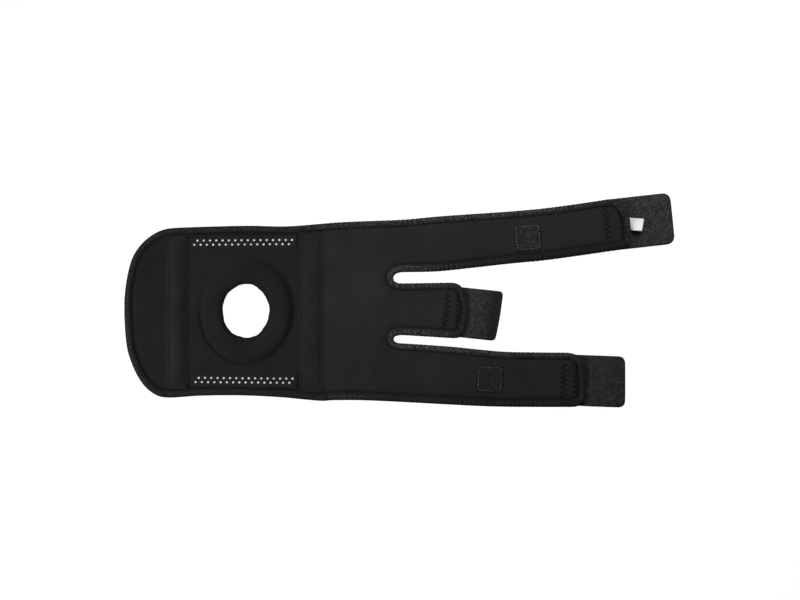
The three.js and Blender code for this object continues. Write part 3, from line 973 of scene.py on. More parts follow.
def jersey_stitch():
    """Fine columns of V-shaped loops, as a knit shows."""
    tree, given, give = group("Jersey stitch", {"Vector": VECTOR, "Loop": FLOAT}, {"Height": FLOAT})
    place = node(tree, "ShaderNodeVectorMath", {0: given["Vector"]}, operation="DIVIDE")
    size = node(tree, "ShaderNodeCombineXYZ", {0: given["Loop"], 1: given["Loop"], 2: given["Loop"]})
    tree.links.new(size.outputs[0], place.inputs[1])
    parts = node(tree, "ShaderNodeSeparateXYZ", {0: place.outputs[0]}).outputs
    column = maths(tree, "SUBTRACT", maths(tree, "FRACT", parts[0]), 0.5)
    slope = maths(tree, "MULTIPLY", maths(tree, "ABSOLUTE", column), KNIT_SLOPE)
    courses = maths(tree, "MULTIPLY", parts[1], KNIT_COURSES)
    course = maths(tree, "FRACT", maths(tree, "ADD", courses, slope))
    ridge = maths(tree, "SINE", maths(tree, "MULTIPLY", course, math.pi))
    crown = maths(tree, "COSINE", maths(tree, "MULTIPLY", column, math.pi))
    give("Height", maths(tree, "MULTIPLY", ridge, crown))
    return tree


def ribbed_tape():
    """Ridges across a woven tape, from a place along and across it."""
    tree, given, give = group("Ribbed tape", {"Vector": VECTOR, "Pitch": FLOAT}, {"Height": FLOAT})
    parts = node(tree, "ShaderNodeSeparateXYZ", {0: given["Vector"]}).outputs
    along = maths(tree, "DIVIDE", parts[0], given["Pitch"])
    across = maths(tree, "DIVIDE", parts[1], given["Pitch"])
    ridge = maths(tree, "ABSOLUTE", maths(tree, "SINE", maths(tree, "MULTIPLY", along, math.pi)))
    weft = maths(tree, "SINE", maths(tree, "MULTIPLY", across, 4 * math.pi))
    give("Height", maths(tree, "ADD", ridge, maths(tree, "MULTIPLY", weft, WEFT_HEIGHT)))
    return tree


def brushed_pile():
    """Small matted loops of a brushed or hook-catching cloth."""
    tree, given, give = group("Brushed pile", {"Vector": VECTOR, "Loop": FLOAT}, {"Height": FLOAT})
    scale = maths(tree, "DIVIDE", 1.0, given["Loop"])
    curls = node(tree, "ShaderNodeTexVoronoi", {"Vector": given["Vector"], "Scale": scale})
    fibres = node(tree, "ShaderNodeTexNoise", {"Vector": given["Vector"], "Scale": scale, "Detail": 4.0})
    give("Height", maths(tree, "ADD", curls.outputs["Distance"], fibres.outputs["Fac"]))
    return tree


def cloth_tone():
    """Colour and roughness of a dyed cloth: broad unevenness, fine fuzz, lint, and painted shade from an
    attribute, which is painted light where it is below 0.
    """
    inputs = {
        "Vector": VECTOR, "Colour": COLOUR, "Patches": FLOAT, "Uneven": FLOAT, "Fuzz": FLOAT, "Lint": FLOAT,
        "Painted shade": FLOAT,
    }
    tree, given, give = group("Cloth tone", inputs, {"Colour": COLOUR, "Roughness": FLOAT})
    place = given["Vector"]
    broad = node(tree, "ShaderNodeTexNoise", {"Vector": place, "Scale": given["Patches"], "Detail": 4.0})
    fine = node(tree, "ShaderNodeTexNoise", {"Vector": place, "Scale": FUZZ_SCALE, "Detail": 2.0})
    specks = node(tree, "ShaderNodeTexNoise", {"Vector": place, "Scale": LINT_SCALE, "Detail": 1.0})
    from_middle = [maths(tree, "SUBTRACT", part.outputs["Fac"], 0.5) for part in (broad, fine)]
    uneven = maths(tree, "MULTIPLY", from_middle[0], given["Uneven"])
    fuzz = maths(tree, "MULTIPLY", from_middle[1], given["Fuzz"])
    # painted shade from the mesh darkens the colour and its mottling
    open_face = maths(tree, "SUBTRACT", 1.0, maths(tree, "MULTIPLY", given["Painted shade"], PAINTED_SHADE_DEPTH))
    mottled = maths(tree, "MULTIPLY", maths(tree, "ADD", uneven, fuzz), open_face)
    bright = maths(tree, "MAXIMUM", maths(tree, "ADD", mottled, 1.0), DARKEST)
    bright = maths(tree, "MULTIPLY", bright, open_face)
    dyed = node(tree, "ShaderNodeVectorMath", {0: given["Colour"], "Scale": bright}, operation="SCALE")
    speck = maths(tree, "SUBTRACT", specks.outputs["Fac"], LINT_FROM)
    lint = maths(tree, "MULTIPLY", maths(tree, "MAXIMUM", speck, 0.0), given["Lint"])
    grey = node(tree, "ShaderNodeCombineXYZ", {0: lint, 1: lint, 2: lint})
    with_lint = node(tree, "ShaderNodeVectorMath", {0: dyed.outputs[0], 1: grey.outputs[0]}, operation="ADD")
    give("Colour", with_lint.outputs[0])
    least, added = ROUGHNESS
    give("Roughness", maths(tree, "ADD", maths(tree, "MULTIPLY", fine.outputs["Fac"], added), least))
    return tree


JERSEY = jersey_stitch()
RIBS = ribbed_tape()
PILE = brushed_pile()
TONE = cloth_tone()


def material(name):
    made = bpy.data.materials.new(name)
    made.use_nodes = True
    tree = made.node_tree
    shader = tree.nodes["Principled BSDF"]
    return made, tree, shader


def cloth(name, colour, relief, loop, depth, patches=30, uneven=1.2, fuzz=0.8, lint=0.1, tape=False):
    """A matt cloth: a tone group for its colour, and a relief group for its yarns."""
    made, tree, shader = material(name)
    solid_place = node(tree, "ShaderNodeTexCoord").outputs["Object"]
    place = node(tree, "ShaderNodeUVMap", uv_map="tape").outputs[0] if tape else solid_place
    # the painted shade that the mesh carries
    painted_shade = node(tree, "ShaderNodeAttribute", attribute_name="painted_shade").outputs["Fac"]
    tone = placed(tree, TONE, {
        "Vector": solid_place, "Colour": (*colour, 1), "Patches": patches, "Uneven": uneven, "Fuzz": fuzz,
        "Lint": lint, "Painted shade": painted_shade,
    })
    tree.links.new(tone["Colour"], shader.inputs["Base Color"])
    tree.links.new(tone["Roughness"], shader.inputs["Roughness"])
    size = "Pitch" if relief is RIBS else "Loop"
    yarns = placed(tree, relief, {"Vector": place, size: loop * MM})
    raised = node(tree, "ShaderNodeBump", {
        "Strength": 0.7, "Distance": depth * MM, "Height": yarns["Height"],
    })
    tree.links.new(raised.outputs[0], shader.inputs["Normal"])
    shader.inputs["Specular IOR Level"].default_value = 0.12
    shader.inputs["Sheen Weight"].default_value = 0.1
    shader.inputs["Sheen Roughness"].default_value = 0.5
    return made


def plain(name, colour, roughness, specular, grain, patches=120):
    """A smooth finish with a slight uneven tone, for nylon, thread and silicone."""
    made, tree, shader = material(name)
    place = node(tree, "ShaderNodeTexCoord").outputs["Object"]
    tone = placed(tree, TONE, {
        "Vector": place, "Colour": (*colour, 1), "Patches": patches, "Uneven": grain, "Fuzz": grain,
        "Lint": 0.0, "Painted shade": 0.0,
    })
    tree.links.new(tone["Colour"], shader.inputs["Base Color"])
    shader.inputs["Roughness"].default_value = roughness
    shader.inputs["Specular IOR Level"].default_value = specular
    return made


KNIT = cloth("panel_knit", (0.0149, 0.0149, 0.015), JERSEY, loop=0.95, depth=0.16, uneven=0.6)
FRONT_KNIT = cloth("front_knit", (0.01, 0.01, 0.0101), JERSEY, loop=0.95, depth=0.16, uneven=0.8)
OUTER_PILE = cloth("outer_pile", (0.016, 0.016, 0.0162), PILE, loop=0.9, depth=0.3, fuzz=0.7)
RIB_KNIT = cloth("rib_knit", (0.0128, 0.0128, 0.0129), JERSEY, loop=0.95, depth=0.16)
RING_KNIT = cloth("ring_knit", (0.0088, 0.0088, 0.0089), JERSEY, loop=0.95, depth=0.16)
TAPE = cloth(
    "binding_tape", (0.0345, 0.0345, 0.0347), RIBS, loop=1.1, depth=0.2, patches=300, uneven=5.2, fuzz=2.6,
    tape=True,
)
GRIP = cloth("grip_tape", (0.0125, 0.0125, 0.0126), RIBS, loop=0.8, depth=0.08)
PATCH = cloth(
    "patch_loop", (0.018, 0.018, 0.0182), PILE, loop=0.8, depth=0.35, patches=420, uneven=4.0, fuzz=1.8,
)
HOOK_GROUND = cloth(
    "hook_ground", (0.0295, 0.0292, 0.0296), RIBS, loop=0.7, depth=0.1, patches=200, uneven=2.0,
)
HOOKS = plain("hook_nylon", (0.11, 0.1092, 0.1106), roughness=0.45, specular=0.4, grain=2.4, patches=200)
# a paler copy of the hook nylon: painted light on the upper tab
PAINTED_LIGHT_HOOKS = plain(
    "hook_nylon_painted_light", (0.188, 0.172, 0.191), roughness=0.4, specular=0.45, grain=2.6, patches=200,
)
THREAD = plain("thread", (0.012, 0.012, 0.0121), roughness=0.6, specular=0.25, grain=0.4)
STRAP_THREAD = plain(
    "strap_thread", (0.021, 0.021, 0.0212), roughness=0.5, specular=0.3, grain=4.5, patches=250,
)
PALE_THREAD = plain(
    "pale_thread", (0.15, 0.15, 0.152), roughness=0.5, specular=0.3, grain=4.0, patches=160,
)
SILICONE = plain("silicone", (0.78, 0.78, 0.79), roughness=0.45, specular=0.35, grain=0.06)
SATIN = cloth("label_satin", (0.86, 0.86, 0.88), RIBS, loop=0.5, depth=0.03, uneven=0.05, fuzz=0.06, lint=0)


# Panels

def stretch_loops(loop, left, right):
    """The part of a loop between two places along the wrap, closed by straight seams."""
    kept = loop[(loop[:, 0] > left) & (loop[:, 0] < right)]
    apart = np.linalg.norm(np.roll(kept, -1, axis=0) - kept, axis=1)
    breaks = np.argmax(apart)
    kept = np.roll(kept, -breaks - 1, axis=0)
    edge = right if right < loop[:, 0].max() else left
    seam = resampled([(edge, kept[-1, 1]), (edge, kept[0, 1])], CLOTH_STEP)
    return np.concatenate([kept, seam])


def beside_zigzags():
    """Close points round the zigzags, where the cloth dips sharply."""
    reach, step_across, step_along = ZIGZAG_FIELD
    across, along = np.meshgrid(np.arange(-reach, reach + 0.1, step_across), np.arange(-1, 1.001, step_along))
    spots = [
        turned(np.column_stack([across.ravel(), along.ravel() * half_length]), x, y, turn)
        for x, y, half_length, turn in ZIGZAGS
    ]
    return np.concatenate(spots)


def panel(name, left, right, finish, hole=None):
    border = resampled(OUTLINE + OUTLINE_INWARDS * PANEL_EDGE, CLOTH_STEP, closed=True)
    loops = [stretch_loops(border, left, right)]
    if hole is not None:
        loops.append(hole)
    rows = [inset_edge(depth)[::2] for depth in TAPE_ROWS]
    rows += [PRESS_PLACES[::2], beside_zigzags(), beside_stitches(SEAM_ROW)]
    places, faces = filled(loops, CLOTH_STEP, np.concatenate(rows))
    top, bottom, painted_shades = panel_faces(places)
    lean = SEAM_LEAN * bump(places[:, 0], SEAM_X, LEAN_WIDTH)
    points, faces, _ = thickened(places, faces, top, bottom, lean)
    middle = points[faces].mean(axis=1)
    outer = middle[:, 2] < underside(middle[:, 0], middle[:, 1]) + BINDING_MIDDLE
    painted_shades = np.r_[painted_shades, painted_shades]
    made = piece(name + "_cloth", points, faces, [finish, OUTER_PILE], outer, painted_shades)
    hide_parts(name)
    return made


def panels():
    hole = ellipse(KNEECAP_RADIUS + HOLE_CLEAR, CLOTH_STEP)
    front = panel("front_panel", -PAST_ENDS, SEAM_X, FRONT_KNIT, hole)
    wrap = panel("wrap_panel", SEAM_X, PAST_ENDS, KNIT)


# Binding

def edge_binding():
    low = [(inset, 2 * BINDING_MIDDLE - height) for inset, height in reversed(TAPE_SECTION)]
    section = np.array(TAPE_SECTION + [(0, BINDING_MIDDLE)] + low + TAPE_INSIDE)
    inset, height = section.T
    place = EDGE_PLACES[:, None]
    gather = pucker(place, inset[None, :])
    outside = np.arange(len(section)) < len(section) - len(TAPE_INSIDE)
    side = np.sign(height - BINDING_MIDDLE)
    away = side * PUCKER_HEIGHT * np.clip(np.abs(inset - TAPE_STITCH) / TAPE_HELD, 0, 1) * outside
    at_row = bump(inset, TAPE_STITCH, TUFT_WIDTH) * outside
    tuft = TUFT_HEIGHT * np.cos(2 * math.pi * place / STITCH) * at_row
    in_by = inset * TAPE_SHARE[:, None] - FOLD_WAVER * gather * (inset < FOLD_INSET)
    flat = OUTLINE[:, None, :] + OUTLINE_INWARDS[:, None, :] * in_by[..., None]
    base = underside(flat[..., 0], flat[..., 1])
    lift = np.where(height > BINDING_MIDDLE, gather, np.minimum(gather, 0) * OUTER_PUCKER)
    heights = base + height + away * lift + side * tuft
    points = np.concatenate([flat, heights[..., None]], axis=2)
    faces = grid_faces(len(OUTLINE), len(section), True, True)
    tape = tape_places(section, faces)
    body = outward(points.reshape(-1, 3), faces)
    if body is not faces:
        tape = tape[:, ::-1]
    painted_shades = tape_creases(inset, gather * outside).ravel()
    made = piece("edge_binding_tape", points, body, [TAPE], painted_shades=painted_shades, tape=tape)
    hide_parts("edge_binding")


def tape_places(section, faces):
    """Places along and across the tape of each face's corners."""
    run = np.r_[0, np.cumsum(np.linalg.norm(np.diff(section, axis=0), axis=1))]
    row, column = np.divmod(faces, len(section))
    last_row = faces.max(axis=1, keepdims=True) >= len(section) * 2
    last_column = column.max(axis=1, keepdims=True) > 1
    along = np.where((row == 0) & last_row, len(OUTLINE), row)
    across = np.where((column == 0) & last_column, run[-1], run[column])
    return np.stack([along * EDGE_STEP, across], axis=-1)


def tape_creases(inset, gather):
    """Painted shade of the tape along its row, its inner lip, its fold and in the valleys of its puckers,
    with the painted shade and light along the edge.
    """
    painted_shades = ROW_CREASE[0] * bump(inset, TAPE_STITCH, ROW_CREASE[1])
    painted_shades = painted_shades + LIP_CREASE[0] * (inset > BINDING_WIDTH - LIP_CREASE[1])
    painted_shades = painted_shades + FOLD_CREASE[0] * bump(inset, 0, FOLD_CREASE[1]) + DARKER[:, None]
    return np.clip(painted_shades - PUCKER_CREASE * np.minimum(gather, 0), PALEST_TAPE, 1)


# Kneecap ring

def around(angle, middle, spread):
    """A smooth bump round a circle, at a middle and of a spread in degrees."""
    off = np.degrees(angle) - middle
    return np.exp(-((((off + 180) % 360 - 180) / spread) ** 2))


def waves(angle, rows):
    return sum(height * np.sin(count * angle + phase) for height, count, phase in rows)


def ring_heights(radius, height, angle, slack):
    """Heights of the ring's face over its section: lumps, gathers, the thin side, the fold and the flange."""
    wander, wander_waves = GATHER_WANDER
    usual, changes_by, fade_waves, phase = GATHER_FADE
    gathers = np.sin(RING_GATHERS * angle + wander * np.sin(wander_waves * angle))
    gathers = gathers * (usual + changes_by * np.sin(fade_waves * angle + phase))
    heights = height + waves(angle, RING_LUMPS) * bump(radius, *RING_CROWN)
    gathered = SEWN_GATHER * bump(radius, *RING_SEWN) + LIP_GATHER * bump(radius, *RING_LIP)
    heights = heights + gathers * gathered
    rim_height, rise, full_radius = RING_SLOPE
    thin = rim_height + rise * (1 - smoothstep(full_radius, RING_RIM + 1, radius))
    heights = heights + (np.minimum(heights, thin) - heights) * around(angle, *RING_THIN)
    return heights - FOLD_DEPTH * ring_fold(radius) * slack


def ring_fold(radius):
    return bump(radius, RING_FOLD, np.where(radius < RING_FOLD, *FOLD_WIDTHS))


def patella_pad():
    crown = np.vstack([RING_TOP[:1], spline_through(RING_TOP, 3)])
    section = np.concatenate([crown, RING_BACK])
    radius, height = section.T
    angle = (2 * math.pi * np.arange(RING_SIDES) / RING_SIDES)[:, None]
    on_top = np.arange(len(section)) < len(crown)
    slack = sum(strength * around(angle, middle, spread) for middle, spread, strength in RING_SLACK)
    heights = np.where(on_top, ring_heights(radius, height, angle, slack), height)
    drop_starts, drop_ends = (RING_FOLD + off for off in FLANGE_DROP)
    heights = heights - RING_SINK * smoothstep(drop_starts, drop_ends, radius)
    out = radius + waves(angle, RING_RAGGED) * (radius < RAGGED_RADIUS)
    x = KNEECAP[0] + out * np.cos(angle)
    y = KNEECAP[1] + out * KNEECAP_STRETCH * np.sin(angle)
    heights = heights + underside(x, y) + FACE - RING_BED
    points = np.stack([x, y, heights], axis=2)
    faces = grid_faces(RING_SIDES, len(section), True, True)
    # painted shade in the fold, at the rim, by the hole and in needle holes, deepest where the fold is slack
    strength, width = RIM_CREASE
    groove = ring_fold(radius) * slack + strength * bump(radius, RING_RIM, width) * slack
    groove = groove + INNER_CREASE * (1 - smoothstep(*INNER_FADE, radius))
    holes = needle_holes(points[..., :2].reshape(-1, 2), RING_STITCHES).reshape(heights.shape)
    painted_shades = (np.clip(groove + SLACK_CREASE * holes * slack, 0, 1) * on_top).ravel()
    body = outward(points.reshape(-1, 3), faces)
    made = piece("patella_pad_ring", points, body, [RING_KNIT], painted_shades=painted_shades)
    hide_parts("patella_pad")


# Pieces sewn on the inner face

def stay_pocket(name, left, right, top, bottom, crown):
    middle, half = (left + right) / 2, (right - left) / 2
    loop = rectangle(right - left, top - bottom, POCKET_CORNER, FINE_STEP) + (middle, (top + bottom) / 2)
    places, faces = filled([loop], CLOTH_STEP, beside_stitches(POCKET_ROWS))
    x, y = places.T
    from_end = np.minimum(top - y, y - bottom)
    from_middle = np.abs(x - middle) / (half - POCKET_MARGIN)
    from_edge = np.minimum(half - np.abs(x - middle), from_end)
    across = np.clip(1 - from_middle**2, 0, 1)
    along = smoothstep(0, POCKET_TAPER, from_end)
    by_seam = x > BY_SEAM
    hem = POCKET_HEM * (1 - HEM_FLATTENED * by_seam) * rounded_rim(from_edge, *HEM_RIM)
    tug_height, tug_pitch = POCKET_TUG
    wander = TUG_WANDER[0] * np.sin(y / TUG_WANDER[1])
    tug = tug_height * np.sin(2 * math.pi * y / tug_pitch + wander) * bump(from_middle, 1, TUG_WIDTH)
    sag_height, sag_pitch = POCKET_SAG
    sag = sag_height * np.sin(2 * math.pi * y / sag_pitch + 1) * across
    lines = pocket_lines(left, right)
    sewn = sum(bump(x, line, row_width(line)) for line in lines)
    holes = needle_holes(places, POCKET_ROWS)
    base = underside(x, y) + PANEL_THICKNESS + POCKET_BED
    swollen = crown * across**CROWN_CURVE * along + (tug + sag) * along
    high = np.maximum(base + hem + swollen - ROW_DIP * sewn - HOLE_DIP * holes, base - POCKET_BED)
    points, faces, cut = thickened(places, faces, high, base - 2 * POCKET_BED)
    inner_side = smoothstep(0, 1, (x - middle) / half * np.sign(KNEECAP[0] - middle))
    # painted shade along the rows, in needle holes and at the left edge, and painted light on the hem beside
    # the seam
    painted_shades = (POCKET_CREASE + INNER_ROW_CREASE * (crown - 1) * inner_side) * sewn**2 + HOLE_CREASE * holes
    edge_crease, edge_width = LEFT_EDGE_CREASE
    painted_shades = painted_shades + edge_crease * (from_edge < edge_width) * (x < middle)
    painted_shades = np.clip(painted_shades, 0, 1) - HEM_PAINTED_LIGHT * by_seam * smoothstep(*HEM_FADE, x - lines[1])
    painted_shades = np.r_[painted_shades, painted_shades]
    made = piece(name + "_sleeve", points, faces, [RIB_KNIT], painted_shades=painted_shades, cut=cut)
    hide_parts(name)


def face_piece(name, row, sewing, finish, pile=0.0):
    """A flat piece with its row of stitches. Pile is how uneven its face stands."""
    x, y, length, width, turn, whole_face_darker = row
    flat = rectangle(length, width, CUT_CORNER, EDGE_STEP)
    places, faces = filled([flat], FINE_STEP, unturned(beside_stitches(sewing), x, y, turn))
    u, v = places.T
    from_edge = np.minimum(length / 2 - np.abs(u), width / 2 - np.abs(v))
    placed_at = turned(places, x, y, turn)
    rim = rounded_rim(from_edge, *FACE_RIM)
    sewn = bump(from_edge, FACE_STITCH, FACE_ROW_WIDTH)
    puff_height, puff_width = FACE_PUFF
    wave, wander, wander_width = PUFF_WAVE
    puff = puff_height * np.sin(u / wave + wander * np.sin(v / wander_width)) * bump(from_edge, 0, puff_width)
    holes = needle_holes(placed_at, sewing)
    ground = underside(*placed_at.T) + FACE - FACE_BED
    nap = pile * CHANCE.uniform(-1, 1, len(u)) * (from_edge > PILE_BORDER)
    high = ground + PATCH_THICKNESS * rim + puff * rim - FACE_ROW_DIP * sewn - HOLE_DIP * holes + nap
    points, faces, cut = thickened(placed_at, faces, high, ground - GAP)
    # painted shade along the row, in needle holes and at the cut edge, over a darker face
    painted_shades = whole_face_darker + FACE_ROW_CREASE * sewn + FACE_HOLE_CREASE * holes
    painted_shades = np.clip(painted_shades + FACE_EDGE_CREASE * (from_edge < CUT_EDGE), 0, 1)
    painted_shades = np.r_[painted_shades, painted_shades]
    made = piece(name + "_cloth", points, faces, [finish], painted_shades=painted_shades, cut=cut)
    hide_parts(name)


def grip_dots(name, row):
    """Plain round dots of silicone that stand up from a grip strip."""
    x, y, length, _, turn, _ = row
    reach = length / 2 - DOT_MARGIN
    along = resampled([(-reach, 0), (reach, 0)], DOT_PITCH / 2)
    side = np.where(np.arange(len(along)) % 2, DOT_ROW, -DOT_ROW)
    middles = along + np.column_stack([np.zeros(len(along)), side])
    circle = np.linspace(0, 2 * math.pi, DOT_SIDES, endpoint=False)
    rim = DOT_RADIUS * np.column_stack([np.cos(circle), np.sin(circle)])
    places, faces = filled([rim], DOT_RADIUS / 4)
    dome = DOT_HEIGHT * np.sqrt(np.clip(1 - (np.linalg.norm(places, axis=1) / DOT_RADIUS) ** 2, DOT_RIM, 1))
    bodies, every = [], []
    for i, middle in enumerate(middles):
        spots = turned(places + middle, x, y, turn)
        ground = underside(*spots.T) + FACE - FACE_BED + PATCH_THICKNESS
        points, dot_faces, _ = thickened(spots, faces, ground + dome, ground - FACE_BED)
        bodies.append(points)
        every.append(dot_faces + i * len(points))
    piece(name + "_dots", np.concatenate(bodies), np.concatenate(every), [SILICONE])


# Strap ends

def tab_rise(name, u):
    """How a tab lies: it leaves the strap, bulges a little and meets the floor at its free end."""
    start, bulge, _ = TAB_BULGE[name]
    length = HOOK_TABS[name][2]
    under_strap = TAB_UNDER_STRAP * (1 - smoothstep(start, length - TAB_REST, u))
    rises, full = (start + off for off in TAB_RISES)
    swollen = bulge * smoothstep(rises, full, u) * (1 - smoothstep(length - TAB_FALLS, length, u))
    return TAB_CLEAR + under_strap + swollen


def hooked(name, points):
    """Share from 0 to 1 of the hooks that a tab still has, thinning out towards its free end."""
    _, _, length, width, _, _, slant, _ = HOOK_TABS[name]
    thin = TAB_BULGE[name][2]
    u, v = points.T
    return smoothstep(HOOKS_GONE * thin, thin, length + slant * v / width - u)


def hook_tab(name, x, y, length, width, turn, corner, slant, bow):
    longer, shorter, half = length + slant / 2, length - slant / 2, width / 2
    corners = [
        (0, -half, CUT_CORNER),
        (shorter, -half, corner),
        (length + bow, 0, half - corner),
        (longer, half, corner),
        (0, half, CUT_CORNER),
    ]
    loop = rounded_loop(corners, FINE_STEP)
    places, faces = filled([loop], TAB_STEP)
    laid = turned(places, x, y, turn)
    edge = nearest(tree_of(loop), places)[1]
    rim = rounded_rim(edge, *TAB_RIM)
    low = tab_rise(name, places[:, 0])
    bead_height, bead_inset, bead_width = TAB_BEAD
    high = low + TAB_THICKNESS * rim + bead_height * bump(edge, bead_inset, bead_width)
    points, faces, cut = thickened(laid, faces, high, low)
    strength, groove_inset, groove_width = BEAD_CREASE
    edge_crease, edge_width = TAB_EDGE_CREASE
    painted_shades = strength * bump(edge, groove_inset, groove_width) + edge_crease * (edge < edge_width)
    # painted shade on the bare end of a tab, and the label's painted shadow
    painted_shades = np.maximum(painted_shades, BARE_CREASE * (1 - hooked(name, places)))
    painted_shades = np.maximum(painted_shades, LABEL_PAINTED_SHADOW * under_label(laid))
    painted_shades = np.r_[painted_shades, painted_shades]
    made = piece(name + "_tape", points, faces, [HOOK_GROUND], painted_shades=painted_shades, cut=cut)
    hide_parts(name)
    # the upper tab's hooks get the paler nylon, painted light
    hooks(name, loop, x, y, turn, PAINTED_LIGHT_HOOKS if name == "hook_tab_upper" else HOOKS)


def under_label(points):
    """Which points lie under the label or beside it, where no hooks stand and its shadow is painted."""
    x, y, length, width, turn, caught, _ = LABEL
    u, v = unturned(points, x, y, turn).T
    along = (u > -caught) & (u < length - caught + LABEL_BORDER)
    return along & (v < width / 2 + LABEL_BORDER) & (v > -width / 2 - LABEL_SHADE)


def hooks(name, loop, x, y, turn, finish):
    low, high = loop.min(axis=0), loop.max(axis=0)
    start = TAB_BULGE[name][0]
    columns = np.arange(start - HOOKS_BACK, high[0], HOOK_PITCH[0])
    rows = np.arange(low[1], high[1], HOOK_PITCH[1])
    u, v = np.meshgrid(columns, rows, indexing="ij")
    odd = (np.arange(len(columns)) % 2)[:, None]
    v = v + odd * HOOK_PITCH[1] / 2
    facing = (1.0 - 2 * odd) * np.ones_like(v)
    spots = np.column_stack([u.ravel(), v.ravel()]) + CHANCE.normal(0, HOOK_STRAY, (u.size, 2))
    clear = inside(spots, [loop]) & (nearest(tree_of(loop), spots)[1] > HOOK_BORDER)
    clear &= CHANCE.uniform(0, 1, len(spots)) < HOOKS_LEFT * hooked(name, spots)
    laid = turned(spots, x, y, turn)
    beside_strap = ~inside(laid, [OUTLINE]) & (nearest(EDGE_TREE, laid)[1] > HOOKS_ASIDE)
    clear &= ((spots[:, 0] > start) | beside_strap) & ~under_label(laid)
    spots, facing = spots[clear], facing.ravel()[clear]
    lean = CHANCE.normal(0, HOOK_LEAN, len(spots))
    forward = np.column_stack([np.sin(lean), np.cos(lean)]) * facing[:, None]
    line = np.array(HOOK_LINE)
    tall = CHANCE.uniform(*HOOK_HEIGHTS, len(spots))
    flat = spots[:, None] + forward[:, None] * line[None, :, :1]
    ground = tab_rise(name, spots[:, 0]) + TAB_THICKNESS
    heights = ground[:, None] + line[None, :, 1] * tall[:, None]
    paths = np.concatenate([turned(flat, x, y, turn), heights[..., None]], axis=2)
    sideways = turned(np.column_stack([-forward[:, 1], forward[:, 0]]), 0, 0, turn)
    across = np.column_stack([sideways, np.zeros(len(spots))])
    points, faces = tubes(paths, across, HOOK_RADIUS, HOOK_SIDES)
    piece(name + "_hooks", points, faces, [finish])


def label_line():
    """The folded ribbon seen from its side: out along the lower ply, round the fold and back."""
    _, _, length, _, _, caught, lift = LABEL
    free = length - caught
    run = np.linspace(-caught, free, LABEL_STEPS[0])
    height = LABEL_ROOT + LABEL_LIFTS[0] * lift * smoothstep(0, free, run)
    apart, more_apart = LABEL_PLIES
    lower = np.column_stack([run, height])
    upper = np.column_stack([run, height + apart + more_apart * smoothstep(0, free, run)])[::-1]
    return np.concatenate([lower, lower[-1] + LABEL_FOLD, upper])


def size_label():
    """A folded ribbon: two plies that leave the strap's end and meet in a loop at the free end."""
    x, y, length, width, turn, caught, lift = LABEL
    line = label_line()
    along = np.gradient(line, axis=0)
    normal = np.column_stack([-along[:, 1], along[:, 0]]) / np.linalg.norm(along, axis=1, keepdims=True)
    section = np.concatenate([line, (line + normal * LABEL_PLY)[::-1]])
    across = np.linspace(-width / 2, width / 2, LABEL_STEPS[1])
    raised = LABEL_LIFTS[1] * lift * smoothstep(width / 2, -width / 2, across)
    away = smoothstep(*LABEL_LEAVES, section[:, 0])
    towards_fold = smoothstep(0, length - caught, section[:, 0])
    slant = LABEL_SLANT * (across / (width / 2))[:, None] * towards_fold[None, :]
    flat = np.stack(np.broadcast_arrays(section[None, :, 0] + slant, across[:, None]), axis=2)
    heights = section[None, :, 1] + raised[:, None] * away[None, :]
    points = np.concatenate([turned(flat, x, y, turn), heights[..., None]], axis=2)
    count = len(section)
    faces = grid_faces(len(across), count, False, True)
    ends = np.array([[i, i + 1, count - 2 - i, count - 1 - i] for i in range(count // 2 - 1)])
    faces = np.concatenate([faces, ends, ends[:, ::-1] + (len(across) - 1) * count])
    made = piece("size_label_ribbon", points, outward(points.reshape(-1, 3), faces), [SATIN])
    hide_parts("size_label")


# Threads

def thread_paths(starts, ends, heights, side):
    """Paths of stitches that rise from the cloth and sink into it again. Side is -1 on the outer face."""
    shares, rises, _ = np.array(STITCH_LINE).T
    flat = starts[:, None] + (ends - starts)[:, None] * shares[None, :, None]
    rise = heights(flat.reshape(-1, 2)).reshape(flat.shape[:2]) + rises * side
    along = (ends - starts) / np.linalg.norm(ends - starts, axis=1, keepdims=True)
    across = np.column_stack([-along[:, 1], along[:, 0], np.zeros(len(along))])
    return np.concatenate([flat, rise[..., None]], axis=2), across


def over(height):
    """A function for the height of a cloth that lies this far over the underside."""
    return lambda points: underside(*points.T) + height


def stitching(name, rows, inner, outer, thread=THREAD):
    """Threads of one sewing job on both faces. Inner and outer are functions for the heights of the cloth."""
    parts = [thread_paths(*rows, inner, 1), thread_paths(*rows, outer, -1)]
    paths, across = (np.concatenate(part) for part in zip(*parts))
    thickness = THREAD_RADIUS * np.array(STITCH_LINE)[:, 2]
    points, faces = tubes(paths, across, thickness, THREAD_SIDES)
    piece(name, points, faces, [thread])


def all_stitching():
    on_face = over(FACE + FACE_THREAD)
    on_ring = over(FACE + RING_THREAD - RING_SINK)
    on_pocket = over(PANEL_THICKNESS + POCKET_THREAD)
    on_tape, under_tape = over(TAPE_ROW_TOP), over(2 * BINDING_MIDDLE - TAPE_ROW_TOP)
    stitching("binding_stitches", BINDING_ROW, on_tape, under_tape)
    stitching("pocket_stitches", POCKET_ROWS, on_pocket, outer_face)
    stitching("ring_stitches", RING_STITCHES, on_ring, outer_face)
    stitching("strip_stitches", STRIP_ROWS, on_face, outer_face)
    stitching("patch_stitches", PATCH_ROWS, on_face, outer_face, PALE_THREAD)
    stitching("seam_stitches", SEAM_ROW, inner_face, outer_face)
    stitching("strap_end_stitches", ZIGZAG_ROWS, inner_face, outer_face, STRAP_THREAD)


# Floor, light and camera

FLOOR_SIZE = 40.0
FLOOR_DROP = 0.0004
FLOOR_TONE = (0.17, 0.19)
FLOOR_GLOW = 0.95  # keeps the sweep white where the camera looks at it
SKY_LIGHT = 0.09  # soft light from all round, which looks white past the floor's end
